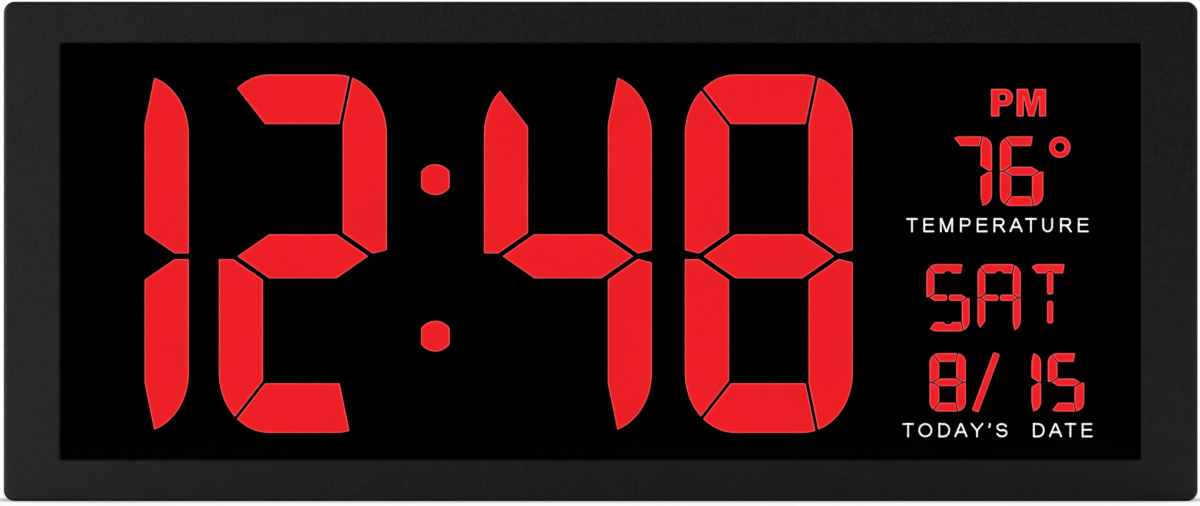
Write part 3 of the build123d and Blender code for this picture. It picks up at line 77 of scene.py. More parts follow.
Point = tuple[float, float]
Inputs = dict[str | int, Any]
Tree = bpy.types.NodeTree
Socket = bpy.types.NodeSocket
Mesh = bmesh.types.BMesh


# ---- colour, scale and nodes
def linear(hex_colour: str) -> tuple[float, float, float, float]:
    """Turns an sRGB hex colour into the linear colour that the shaders take.

    Args:
        hex_colour: Six hex digits after a hash sign.

    Returns:
        Linear red, green, blue and an alpha of one.
    """
    channels = [int(hex_colour[i : i + 2], 16) / 255 for i in (1, 3, 5)]
    red, green, blue = (c / 12.92 if c <= 0.04045 else ((c + 0.055) / 1.055) ** 2.4 for c in channels)
    return red, green, blue, 1.0


def per_metre(size_mm: float) -> float:
    """Scale of a pattern whose features are this many millimetres across."""
    return 1.0 / (size_mm * MM)


def add_node(
    tree: Tree, kind: str, inputs: Inputs | None = None, output: str | int = 0, **settings: Any
) -> Socket | None:
    """Adds one shader node with its settings, values and links.

    Args:
        tree: The node tree that takes the node.
        kind: Blender's identifier of the node type.
        inputs: Value or output socket for each named or numbered input.
        output: Name or number of the output to hand back.
        **settings: Attributes of the node itself.

    Returns:
        The chosen output socket, or None from a node that has no outputs.
    """
    node = tree.nodes.new(kind)
    for name, value in settings.items():
        setattr(node, name, value)
    for key, value in (inputs or {}).items():
        if isinstance(value, Socket):
            tree.links.new(value, node.inputs[key])
        else:
            node.inputs[key].default_value = value
    return node.outputs[output] if len(node.outputs) else None


def empty_tree(owner: bpy.types.Material | bpy.types.World) -> Tree:
    """Switches on the nodes of a material or world and clears them.

    Args:
        owner: The material or world.

    Returns:
        Its node tree, without nodes.
    """
    owner.use_nodes = True
    owner.node_tree.nodes.clear()
    return owner.node_tree


def edge_share(tree: Tree, reach_mm: float, amount: float) -> Socket:
    """Pattern that is 0 on flat ground and rises along the piece's edges.

    Args:
        tree: The node tree.
        reach_mm: How far the pattern reaches from an edge.
        amount: Its value on the edge itself.

    Returns:
        The pattern's value.
    """
    rounded = add_node(tree, "ShaderNodeBevel", {"Radius": reach_mm * MM}, samples=EDGE_RAYS)
    flat = add_node(tree, "ShaderNodeNewGeometry", output="Normal")
    likeness = add_node(
        tree, "ShaderNodeVectorMath", {0: rounded, 1: flat}, output="Value", operation="DOT_PRODUCT"
    )
    edge = add_node(tree, "ShaderNodeMapRange", {"Value": likeness, **EDGE_SPAN})
    return add_node(tree, "ShaderNodeMath", {0: edge, 1: amount}, operation="MULTIPLY")


# ---- finishes
@dataclass(frozen=True)
class Finish:
    """A procedural material that is made on first use and then shared.

    Attributes:
        name: The material's name, after what the real one is.
        dark: Darker colour of the surface.
        light: Lighter colour of the surface.
        ior: Index of refraction, which the metals leave alone.
    """

    name: str
    dark: str
    light: str
    ior: float = 1.5

    @cache
    def material(self) -> bpy.types.Material:
        """Builds the finish's material on the first call and hands the same one back later.

        Returns:
            The material.
        """
        made = bpy.data.materials.new(self.name)
        tree = empty_tree(made)
        place = add_node(tree, "ShaderNodeTexCoord", output="Object")
        shader = add_node(tree, "ShaderNodeBsdfPrincipled", self.surface(tree, place))
        add_node(tree, "ShaderNodeOutputMaterial", {"Surface": shader})
        return made

    def surface(self, tree: Tree, place: Socket) -> Inputs:
        """Builds the patterns that feed the shader. Each finish has its own.

        Args:
            tree: The material's node tree.
            place: Object coordinates in metres.

        Returns:
            What the shader takes.
        """
        raise NotImplementedError

    def tone(self, tree: Tree, pattern: Socket) -> Socket:
        """Colour that goes from the darker to the lighter one with a pattern.

        Args:
            tree: The material's node tree.
            pattern: Zero where the colour is dark and one where it is light.

        Returns:
            The colour.
        """
        ends = {COLOUR_A: linear(self.dark), COLOUR_B: linear(self.light)}
        return add_node(
            tree, "ShaderNodeMix", {SHARE: pattern, **ends}, output=MIXED_COLOUR, data_type="RGBA"
        )


@dataclass(frozen=True)
class SparkTexturedAbs(Finish):
    """Black ABS moulded in a spark-eroded tool.

    The grain breaks up the sheen into a soft mottle, and the colour turns lighter along every edge.

    Attributes:
        grain_mm: Size of the grain. The real one is about 0.1 mm, drawn coarser so that it shows.
        grain_depth_mm: Relief of the grain.
        mottle_mm: Size of the faint patches in the colour, left by the flow of the melt.
        mottle_share: How much of the colour's variation comes from the patches, not the grain.
        roughness: Roughness between the grain's tops and its pits.
        edge_colour: Colour along the edges.
        edge_mm: How far the lighter edge colour reaches.
        edge_amount: How far the edges go towards that colour.
    """

    grain_mm: float = 0.6
    grain_depth_mm: float = 0.05
    mottle_mm: float = 6.0
    mottle_share: float = 0.35
    roughness: tuple[float, float] = (0.38, 0.52)
    edge_colour: str = "#2f2f31"
    edge_mm: float = 0.25
    edge_amount: float = 0.8

    def surface(self, tree: Tree, place: Socket) -> Inputs:
        """Mottled black under a fine grain.

        Args:
            tree: The material's node tree.
            place: Object coordinates in metres.

        Returns:
            What the shader takes.
        """
        grain = add_node(
            tree,
            "ShaderNodeTexNoise",
            {"Vector": place, "Scale": per_metre(self.grain_mm), "Detail": 3.0, "Roughness": 0.6},
        )
        mottle = add_node(
            tree,
            "ShaderNodeTexNoise",
            {"Vector": place, "Scale": per_metre(self.mottle_mm), "Detail": 6.0, "Roughness": 0.7},
        )
        blend = add_node(
            tree, "ShaderNodeMix", {SHARE: self.mottle_share, NUMBER_A: grain, NUMBER_B: mottle}
        )
        patches = add_node(tree, "ShaderNodeMapRange", {"Value": blend, **MIXED_SPAN})
        lighter_edges = edge_share(tree, self.edge_mm, self.edge_amount)
        plain = self.tone(tree, patches)
        colour = add_node(
            tree,
            "ShaderNodeMix",
            {SHARE: lighter_edges, COLOUR_A: plain, COLOUR_B: linear(self.edge_colour)},
            output=MIXED_COLOUR,
            data_type="RGBA",
        )
        low, high = self.roughness
        sheen = add_node(
            tree, "ShaderNodeMapRange", {"Value": grain, **NOISE_SPAN, "To Min": low, "To Max": high}
        )
        relief = add_node(
            tree, "ShaderNodeBump", {"Height": grain, "Distance": self.grain_depth_mm * MM}
        )
        return {"Base Color": colour, "Roughness": sheen, "IOR": self.ior, "Normal": relief}


@dataclass(frozen=True)
class SmokedAcrylic(Finish):
    """Smoked cast acrylic with a fine anti-glare face.

    It swallows half the light each way, so the unlit display disappears, and its face softens
    the outline of each lit segment a little.

    Attributes:
        haze_mm: Size of the patches in which the face's sheen varies.
        roughness: Roughness from the clearest to the haziest patch.
    """

    haze_mm: float = 45.0
    roughness: tuple[float, float] = (0.02, 0.035)

    def surface(self, tree: Tree, place: Socket) -> Inputs:
        """Tinted clear plastic with a trace of haze.

        Args:
            tree: The material's node tree.
            place: Object coordinates in metres.

        Returns:
            What the shader takes.
        """
        scale = per_metre(self.haze_mm)
        haze = add_node(tree, "ShaderNodeTexNoise", {"Vector": place, "Scale": scale, "Detail": 2.0})
        low, high = self.roughness
        sheen = add_node(
            tree, "ShaderNodeMapRange", {"Value": haze, **NOISE_SPAN, "To Min": low, "To Max": high}
        )
        return {
            "Base Color": self.tone(tree, haze),
            "Roughness": sheen,
            "IOR": self.ior,
            "Transmission Weight": 1.0,
        }


@dataclass(frozen=True)
class Speckled(Finish):
    """Plastic, rubber, print or glaze whose colour and sheen vary in fine speckles.

    Attributes:
        speckle_mm: Size of the speckles in the colour.
        grain_mm: Size of the relief. Both are coarser than on most real parts, so that they show.
        relief_mm: Depth of the relief.
        roughness: Roughness between the relief's tops and its pits.
        specular: Strength of the surface reflection.
    """

    speckle_mm: float = 2.0
    grain_mm: float = 0.4
    relief_mm: float = 0.008
    roughness: tuple[float, float] = (0.4, 0.55)
    specular: float = 0.5

    def surface(self, tree: Tree, place: Socket) -> Inputs:
        """Speckles in the colour over a fine relief.

        Args:
            tree: The material's node tree.
            place: Object coordinates in metres.

        Returns:
            What the shader takes.
        """
        speckle = add_node(
            tree,
            "ShaderNodeTexNoise",
            {"Vector": place, "Scale": per_metre(self.speckle_mm), "Detail": 3.0},
        )
        grain = add_node(
            tree,
            "ShaderNodeTexNoise",
            {"Vector": place, "Scale": per_metre(self.grain_mm), "Detail": 2.0},
        )
        low, high = self.roughness
        sheen = add_node(
            tree, "ShaderNodeMapRange", {"Value": grain, **NOISE_SPAN, "To Min": low, "To Max": high}
        )
        relief = add_node(tree, "ShaderNodeBump", {"Height": grain, "Distance": self.relief_mm * MM})
        return {
            "Base Color": self.tone(tree, speckle),
            "Roughness": sheen,
            "IOR": self.ior,
            "Specular IOR Level": self.specular,
            "Normal": relief,
        }


@dataclass(frozen=True)
class GlowingDiffuser(Finish):
    """Light-spreading plastic lit from behind by its diodes, or ink with a painted glow.

    The glow is even, with a paler line where light leaves along the edge. The defaults are those
    of the red tiles.

    Attributes:
        body: Colour of the plastic or ink itself.
        rim_mm: Width of the pale line.
        rim_amount: How far the pale line goes towards the lighter colour.
        strength: Brightness of the glow. The tiles' makes up for what the smoked pane swallows.
        strength_spread: How far the brightness varies to either side of that.
        mottle_mm: Size of the faint unevenness, which in the tiles follows their diodes.
        roughness: Roughness of the face.
    """

    body: str = "#3c0506"
    rim_mm: float = 0.6
    rim_amount: float = 0.8
    strength: float = 2.07
    strength_spread: float = 0.03
    mottle_mm: float = 16.0
    roughness: float = 0.5

    def surface(self, tree: Tree, place: Socket) -> Inputs:
        """Glow that pales along the edges.

        Args:
            tree: The material's node tree.
            place: Object coordinates in metres.

        Returns:
            What the shader takes.
        """
        rim = edge_share(tree, self.rim_mm, self.rim_amount)
        mottle = add_node(
            tree, "ShaderNodeTexNoise", {"Vector": place, "Scale": per_metre(self.mottle_mm)}
        )
        weakest = (1 - self.strength_spread) * self.strength
        strongest = (1 + self.strength_spread) * self.strength
        strength = add_node(
            tree, "ShaderNodeMapRange", {"Value": mottle, "To Min": weakest, "To Max": strongest}
        )
        return {
            "Base Color": linear(self.body),
            "Roughness": self.roughness,
            "IOR": self.ior,
            "Emission Color": self.tone(tree, rim),
            "Emission Strength": strength,
        }


@dataclass(frozen=True)
class SolderMask(Finish):
    """Glass-epoxy board under green solder mask, with tracks that stand up as lighter bands.

    Attributes:
        track_pitch_mm: Spacing of the tracks.
        half_width: Half the width of a track, in pitches.
        link_spacing: Distance between the links that join one track to the next, in pitches.
        track_depth_mm: Thickness of the copper under the lacquer.
        roughness: Roughness of the lacquer.
    """

    track_pitch_mm: float = 2.54
    half_width: float = 0.12
    link_spacing: float = 5.0
    track_depth_mm: float = 0.035
    roughness: float = 0.32

    def surface(self, tree: Tree, place: Socket) -> Inputs:
        """Green lacquer over rows of tracks.

        Args:
            tree: The material's node tree.
            place: Object coordinates in metres.

        Returns:
            What the shader takes.
        """
        upright = add_node(
            tree, "ShaderNodeMapping", {"Vector": place, "Rotation": (math.radians(90), 0, 0)}
        )
        # The mortar between the bricks makes the tracks.
        tracks = add_node(
            tree,
            "ShaderNodeTexBrick",
            {
                "Vector": upright,
                "Scale": per_metre(self.track_pitch_mm),
                "Mortar Size": self.half_width,
                "Brick Width": self.link_spacing,
                "Row Height": 1.0,
            },
            output="Fac",
        )
        relief = add_node(
            tree, "ShaderNodeBump", {"Height": tracks, "Distance": self.track_depth_mm * MM}
        )
        return {
            "Base Color": self.tone(tree, tracks),
            "Roughness": self.roughness,
            "IOR": self.ior,
            "Normal": relief,
        }


@dataclass(frozen=True)
class ScratchedMetal(Finish):
    """Drawn, turned or pressed metal whose fine scratches stretch its highlights.

    The IOR stays Blender's own, because a metal's reflection comes from its colour.

    Attributes:
        scratch_mm: Width of the scratches. Real ones are finer; these are as coarse as shows.
        stretch: Length of the scratches, in widths.
        relief_mm: Depth of the scratches.
        roughness: Roughness between clean metal and the bottom of a scratch.
    """

    scratch_mm: float = 0.25
    stretch: float = 6.0
    relief_mm: float = 0.003
    roughness: tuple[float, float] = (0.22, 0.4)

    def surface(self, tree: Tree, place: Socket) -> Inputs:
        """Metal with drawn-out scratches.

        Args:
            tree: The material's node tree.
            place: Object coordinates in metres.

        Returns:
            What the shader takes.
        """
        drawn = add_node(
            tree, "ShaderNodeMapping", {"Vector": place, "Scale": (1.0, 1.0, 1.0 / self.stretch)}
        )
        scratches = add_node(
            tree,
            "ShaderNodeTexNoise",
            {"Vector": drawn, "Scale": per_metre(self.scratch_mm), "Detail": 3.0},
        )
        low, high = self.roughness
        sheen = add_node(
            tree,
            "ShaderNodeMapRange",
            {"Value": scratches, **NOISE_SPAN, "To Min": low, "To Max": high},
        )
        relief = add_node(
            tree, "ShaderNodeBump", {"Height": scratches, "Distance": self.relief_mm * MM}
        )
        return {
            "Base Color": self.tone(tree, scratches),
            "Metallic": 1.0,
            "Roughness": sheen,
            "Normal": relief,
        }


@dataclass(frozen=True)
class RibbedPvc(Finish):
    """Flat cable in grey PVC, with one ridge for each core.

    Attributes:
        core_pitch_mm: Spacing of the cores.
        ridge_mm: Height of the ridges.
        roughness: Roughness of the PVC.
    """

    core_pitch_mm: float = 1.27
    ridge_mm: float = 0.2
    roughness: float = 0.45

    def surface(self, tree: Tree, place: Socket) -> Inputs:
        """Ridges along the cable, with painted highlight on their tops and painted shade in the
        grooves.

        Args:
            tree: The material's node tree.
            place: Object coordinates in metres.

        Returns:
            What the shader takes.
        """
        # A wave texture of scale 1 has a period of pi / 10.
        scale = math.pi / 10 * per_metre(self.core_pitch_mm)
        ridges = add_node(tree, "ShaderNodeTexWave", {"Vector": place, "Scale": scale}, output="Fac")
        relief = add_node(tree, "ShaderNodeBump", {"Height": ridges, "Distance": self.ridge_mm * MM})
        return {
            # Painted highlight and shade: the colour follows the ridges, lighter on top and darker in
            # the grooves.
            "Base Color": self.tone(tree, ridges),
            "Roughness": self.roughness,
            "IOR": self.ior,
            "Normal": relief,
        }


class Finishes(Enum):
    """Every finish of the clock."""

    # Satin black of the shells and legs: nearly even, with a soft mottle close up.
    HOUSING = SparkTexturedAbs("spark_textured_abs", "#101012", "#242428", ior=1.53)
    # Reads as black until something glows behind it.
    WINDOW = SmokedAcrylic("smoked_cast_acrylic", "#b39a9a", "#bba2a2", ior=1.49)
    # Closed-cell foam: dull, with visible cells.
    TAPE = Speckled(
        "closed_cell_foam", "#050505", "#0b0b0b", ior=1.45, speckle_mm=0.5, relief_mm=0.03,
        roughness=(0.8, 0.95), specular=0.2,
    )
    # Matt black screen print that swallows what passes the pane.
    MASK = Speckled(
        "matt_screen_print", "#010101", "#020202", ior=1.45, speckle_mm=0.8, grain_mm=0.8,
        relief_mm=0.002, roughness=(0.8, 0.9), specular=0.05,
    )
    # Unpolished moulding that is never seen from outside.
    REFLECTOR = Speckled(
        "unpolished_moulding", "#262626", "#303030", speckle_mm=3.0, grain_mm=0.6,
        relief_mm=0.01, roughness=(0.5, 0.6),
    )
    # The lit segments: an even red.
    LIT = GlowingDiffuser("glowing_red_diffuser", "#f6272f", "#ff8f94")
    # The same plastic unlit, painted near black as shade so that it disappears beside the mask.
    UNLIT = Speckled(
        "unlit_diffuser_painted_shade", "#020101", "#030202", speckle_mm=1.0, grain_mm=0.6,
        relief_mm=0.002, roughness=(0.8, 0.9), specular=0.05,
    )
    # Boards: glossy green lacquer.
    BOARD = SolderMask("solder_masked_board", "#0b3d1e", "#14592e", ior=1.55)
    # Cream moulded cup under a clear drop.
    LED = Speckled(
        "moulded_led_cup", "#ded5b6", "#f1ead0", ior=1.52, speckle_mm=1.0, grain_mm=0.3,
        relief_mm=0.004, roughness=(0.2, 0.35),
    )
    # Moulding compound: charcoal and slightly grainy.
    CHIP = Speckled(
        "moulding_compound", "#121213", "#1a1a1b", ior=1.55, speckle_mm=1.5, grain_mm=0.3,
        relief_mm=0.01, roughness=(0.5, 0.65),
    )
    # Printed resistor with a glassy black top.
    RESISTOR = Speckled(
        "glazed_resistor", "#0c0c0e", "#222226", ior=1.6, speckle_mm=0.7, grain_mm=0.3,
        relief_mm=0.004, roughness=(0.2, 0.35),
    )
    # Natural nylon: cream, faintly waxy.
    CONNECTOR = Speckled(
        "natural_nylon", "#cfc8ae", "#e2dcc6", ior=1.53, grain_mm=0.5, relief_mm=0.01,
        roughness=(0.4, 0.5),
    )
    # Grey flat cable, with painted shade in the grooves between its ridges.
    RIBBON = RibbedPvc("grey_flat_cable", "#4d4f52", "#7b7d80", ior=1.53)
    # Black zinc: dark, with a dull metallic glint.
    SCREW = ScratchedMetal(
        "black_zinc_steel", "#29282a", "#3b3a3c", scratch_mm=0.3, stretch=4.0, relief_mm=0.004,
        roughness=(0.3, 0.45),
    )
    # Bright drawn steel.
    PIN = ScratchedMetal("drawn_steel", "#a5a5a3", "#c4c4c0", stretch=2.0, roughness=(0.2, 0.35))
    # Nickel-plated can.
    CRYSTAL = ScratchedMetal(
        "nickel_plated_can", "#b5b5b2", "#d2d2cd", scratch_mm=0.3, roughness=(0.2, 0.35)
    )
    # Dark blue shrink sleeve.
    CAPACITOR = Speckled(
        "shrink_sleeve", "#10183c", "#182250", ior=1.54, speckle_mm=1.5, relief_mm=0.004,
        roughness=(0.2, 0.3),
    )
    # Dipped epoxy drop: glossy black.
    THERMISTOR = Speckled(
        "dipped_epoxy", "#0c0c12", "#15151c", ior=1.55, speckle_mm=0.6, grain_mm=0.3,
        relief_mm=0.004, roughness=(0.1, 0.2),
    )
    # Glass-filled nylon of switches and cell holder.
    SWITCH = Speckled("glass_filled_nylon", "#121212", "#1c1c1c", ior=1.53, relief_mm=0.01)
    # Keys, slider and cap: finer grain and a little lighter than the shell.
    KEY = SparkTexturedAbs(
        "fine_grained_abs", "#222225", "#2f2f33", ior=1.53, grain_mm=0.4, grain_depth_mm=0.02,
        mottle_mm=4.0, mottle_share=0.3, roughness=(0.35, 0.5), edge_colour="#404045",
    )
    # Pressed stainless cell case.
    CELL = ScratchedMetal(
        "stainless_case", "#b9b9b5", "#d6d6d1", scratch_mm=0.35, stretch=1.0, roughness=(0.18, 0.32)
    )
    # Nickel-plated spring sheet, warm in tone.
    CONTACT = ScratchedMetal(
        "nickel_spring_sheet", "#b7b1a0", "#cfc9b8", scratch_mm=0.3, stretch=5.0,
        roughness=(0.2, 0.35),
    )
    # Moulded rubber: dull and slightly dusty.
    PAD = Speckled(
        "moulded_rubber", "#131313", "#202020", ior=1.52, speckle_mm=0.7, grain_mm=0.5,
        relief_mm=0.04, roughness=(0.75, 0.9), specular=0.3,
    )
    # Black polyamide of the power inlet.
    INLET = Speckled(
        "black_polyamide", "#0c0c0c", "#141414", ior=1.53, speckle_mm=1.5, roughness=(0.35, 0.5)
    )
    # Bright nickel on brass.
    INLET_PIN = ScratchedMetal(
        "nickel_plated_brass", "#c2c2c0", "#dededb", scratch_mm=0.2, stretch=3.0,
        relief_mm=0.002, roughness=(0.12, 0.25),
    )
    # Opaque white screen ink, faintly uneven, with a painted glow that keeps it bright white.
    CAPTION_INK = GlowingDiffuser(
        "white_screen_ink_painted_glow", "#f4f4f4", "#ffffff", body="#f4f4f4", rim_mm=0.1, rim_amount=0.5,
        strength=0.7, mottle_mm=0.6, roughness=0.55,
    )
    # Pale grey ink on the raised marks of the keys.
    MARK_INK = Speckled(
        "grey_pad_print", "#a4a4a4", "#c0c0c0", speckle_mm=0.5, grain_mm=0.3, relief_mm=0.003,
        roughness=(0.5, 0.6),
    )


# ---- pieces
def add_mesh(name: str, shape: Mesh, material: bpy.types.Material) -> bpy.types.Object:
    """Puts a finished mesh into the scene.

    Args:
        name: Name of the object.
        shape: Its mesh, which this function frees.
        material: Its material.

    Returns:
        The new object.
    """
    data = bpy.data.meshes.new(name)
    shape.to_mesh(data)
    shape.free()
    data.materials.append(material)
    made = bpy.data.objects.new(name, data)
    bpy.context.scene.collection.objects.link(made)
    return made


def make_piece(name: str, shape: Mesh, finish: Finishes, body: str) -> None:
    """Turns a finished mesh into a piece of the clock.

    Args:
        name: Name of the piece.
        shape: The piece's mesh, which this function frees.
        finish: The piece's finish.
        body: The moving body that carries it.
    """
    bmesh.ops.recalc_face_normals(shape, faces=shape.faces)
    piece = add_mesh(name, shape, finish.value.material())
    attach(piece, body)
    log.info("%s: added in %s", name, finish.value.name)


def thicken(shape: Mesh, depth: float) -> None:
    """Gives a flat drawing a thickness along Y.

    Args:
        shape: The drawing's faces.
        depth: Thickness in metres, towards the back if positive.
    """
    grown = bmesh.ops.extrude_face_region(shape, geom=shape.faces[:])
    moved = [v for v in grown["geom"] if isinstance(v, bmesh.types.BMVert)]
    bmesh.ops.translate(shape, verts=moved, vec=(0, depth, 0))


def on_circle(radius: float, degrees: float) -> Point:
    """Point on a circle about zero, at an angle from +X towards +Z."""
    return radius * math.cos(math.radians(degrees)), radius * math.sin(math.radians(degrees))


def bow(centre: Point, radii: Point, start: float, end: float, steps: int = 10) -> list[Point]:
    """Points along a piece of an ellipse.

    Args:
        centre: The ellipse's centre.
        radii: Its half width and half height.
        start: First angle in degrees, from +X towards +Z.
        end: Last angle.
        steps: Number of chords.

    Returns:
        The points, both ends included.
    """
    angles = [math.radians(start + (end - start) * n / steps) for n in range(steps + 1)]
    return [(centre[0] + radii[0] * math.cos(a), centre[1] + radii[1] * math.sin(a)) for a in angles]


@dataclass
class SubAssembly:
    """Part of the clock that is taken apart as one.

    Attributes:
        finishes: Finish of each of its CAD nodes.
    """

    finishes: dict[str, Finishes] = field(default_factory=dict)

    def dress(self) -> None:
        """Gives each CAD node its finish."""
        for node, finish in self.finishes.items():
            materials = bpy.data.objects[node].data.materials
            materials.clear()
            materials.append(finish.value.material())
            log.info("%s: %s", node, finish.value.name)

    def add_pieces(self) -> None:
        """Adds what the CAD model leaves out. Most sub-assemblies need nothing."""

    def build(self) -> None:
        """Dresses the sub-assembly and completes it."""
        self.dress()
        self.add_pieces()


@dataclass
class Housing(SubAssembly):
    """The two shells with the screws that join them."""

    finishes: dict[str, Finishes] = field(
        default_factory=lambda: {
            "front_bezel": Finishes.HOUSING,
            "rear_cover": Finishes.HOUSING,
            "cover_screws": Finishes.SCREW,
        }
    )


@dataclass
class Legs(SubAssembly):
    """The two fold-out legs, their pins and their pads."""

    finishes: dict[str, Finishes] = field(
        default_factory=lambda: {
            "left_leg": Finishes.HOUSING,
            "right_leg": Finishes.HOUSING,
            "hinge_pins": Finishes.PIN,
            "left_leg_pad": Finishes.PAD,
            "right_leg_pad": Finishes.PAD,
        }
    )


@dataclass
class Display(SubAssembly):
    """Mask, tiles and reflector, with the board that lights them."""

    finishes: dict[str, Finishes] = field(
        default_factory=lambda: {
            "segment_mask": Finishes.MASK,
            "reflector": Finishes.REFLECTOR,
            "hour_segments": Finishes.LIT,
            "minute_segments": Finishes.LIT,
            "colon_dots": Finishes.LIT,
            "afternoon_sign": Finishes.LIT,
            "temperature_segments": Finishes.LIT,
            "weekday_segments": Finishes.LIT,
            "date_segments": Finishes.LIT,
            "unlit_segments": Finishes.UNLIT,
            "display_board": Finishes.BOARD,
            "display_screws": Finishes.SCREW,
            "segment_leds": Finishes.LED,
            "driver_chips": Finishes.CHIP,
            "segment_resistors": Finishes.RESISTOR,
            "display_header": Finishes.CONNECTOR,
        }
    )


@dataclass
class ControlBoard(SubAssembly):
    """Control board, what stands on it, and its ribbon to the display."""

    finishes: dict[str, Finishes] = field(
        default_factory=lambda: {
            "control_board": Finishes.BOARD,
            "control_screws": Finishes.SCREW,
            "control_header": Finishes.CONNECTOR,
            "ribbon_cable": Finishes.RIBBON,
            "microcontroller": Finishes.CHIP,
            "quartz_crystal": Finishes.CRYSTAL,
            "capacitors": Finishes.CAPACITOR,
            "voltage_regulator": Finishes.CHIP,
            "thermistor": Finishes.THERMISTOR,
            "switch_bodies": Finishes.SWITCH,
            "dimmer_switch_body": Finishes.SWITCH,
            "cell_holder": Finishes.SWITCH,
            "coin_cell": Finishes.CELL,
            "cell_contacts": Finishes.CONTACT,
            "inlet_body": Finishes.INLET,
            "inlet_pin": Finishes.INLET_PIN,
        }
    )


@dataclass(frozen=True)
class Glyph:
    """One capital letter as pen strokes, in cap heights.

    Attributes:
        advance: Width from one letter's start to the next.
        strokes: Centre line of each stroke.
    """

    advance: float
    strokes: tuple[list[Point], ...] = ()


def capitals(pen: float) -> dict[str, Glyph]:
    """Draws the capitals that the captions need, plain and without serifs.

    All numbers are in cap heights, from the letter's left edge and foot.

    Args:
        pen: Half the stroke's width, in cap heights.

    Returns:
        A glyph for each character.
    """
    top, foot = 1.0 - pen, pen
    stem, middle = 0.185, 0.53
    p_join, r_join = 0.475, 0.49
    p_turn, r_turn = (top - p_join) / 2, (top - r_join) / 2
    return {
        "T": Glyph(0.853, ([(0.03, top), (0.83, top)], [(0.43, 1), (0.43, 0)])),
        "E": Glyph(
            0.932,
            (
                [(0.86, top), (stem, top), (stem, foot), (0.885, foot)],
                [(stem, middle), (0.83, middle)],
            ),
        ),
        "M": Glyph(
            1.163,
            (
                [(0.18, 0), (0.18, 1)],
                [(0.99, 0), (0.99, 1)],
                [(0.2, 0.98), (0.575, 0.02)],
                [(0.595, 0.02), (0.97, 0.98)],
            ),
        ),
        "P": Glyph(
            0.932,
            (
                [(stem, 0), (stem, 1)],
                [(stem, top)]
                + bow((0.6, p_join + p_turn), (0.225, p_turn), 90, -90)
                + [(stem, p_join)],
            ),
        ),
        "R": Glyph(
            1.008,
            (
                [(stem, 0), (stem, 1)],
                [(stem, top)]
                + bow((0.64, r_join + r_turn), (0.205, r_turn), 90, -90)
                + [(stem, r_join)],
                [(0.58, r_join), (0.93, 0)],
            ),
        ),
        "A": Glyph(
            0.932,
            (
                [(0.04, 0.02), (0.45, 0.98)],
                [(0.48, 0.98), (0.89, 0.02)],
                [(0.19, 0.36), (0.74, 0.36)],
            ),
        ),
        "U": Glyph(
            1.008,
            ([(stem, 1)] + bow((0.508, 0.4), (0.323, 0.4 - foot), 180, 360) + [(0.83, 1)],),
        ),
        "O": Glyph(1.087, (bow((0.543, 0.5), (0.44, 0.5 - foot), 0, 360, steps=28),)),
        "D": Glyph(
            1.008,
            (
                [(0.187, 0), (0.187, 1)],
                [(0.187, top)]
                + bow((0.5, 0.5), (0.405, 0.5 - foot), 90, -90, steps=16)
                + [(0.187, foot)],
            ),
        ),
        "Y": Glyph(0.932, ([(0.04, 1), (0.465, 0.48), (0.89, 1)], [(0.465, 0.5), (0.465, 0)])),
        "'": Glyph(0.31, ([(0.185, 1), (0.185, 0.86), (0.12, 0.68)],)),
        "S": Glyph(
            0.932,
            (
                bow((0.455, 0.715), (0.32, top - 0.715), 5, 270, steps=18)
                + bow((0.465, 0.29), (0.34, 0.29 - foot), 90, -178, steps=18)[1:],
            ),
        ),
        " ": Glyph(1.1),
    }


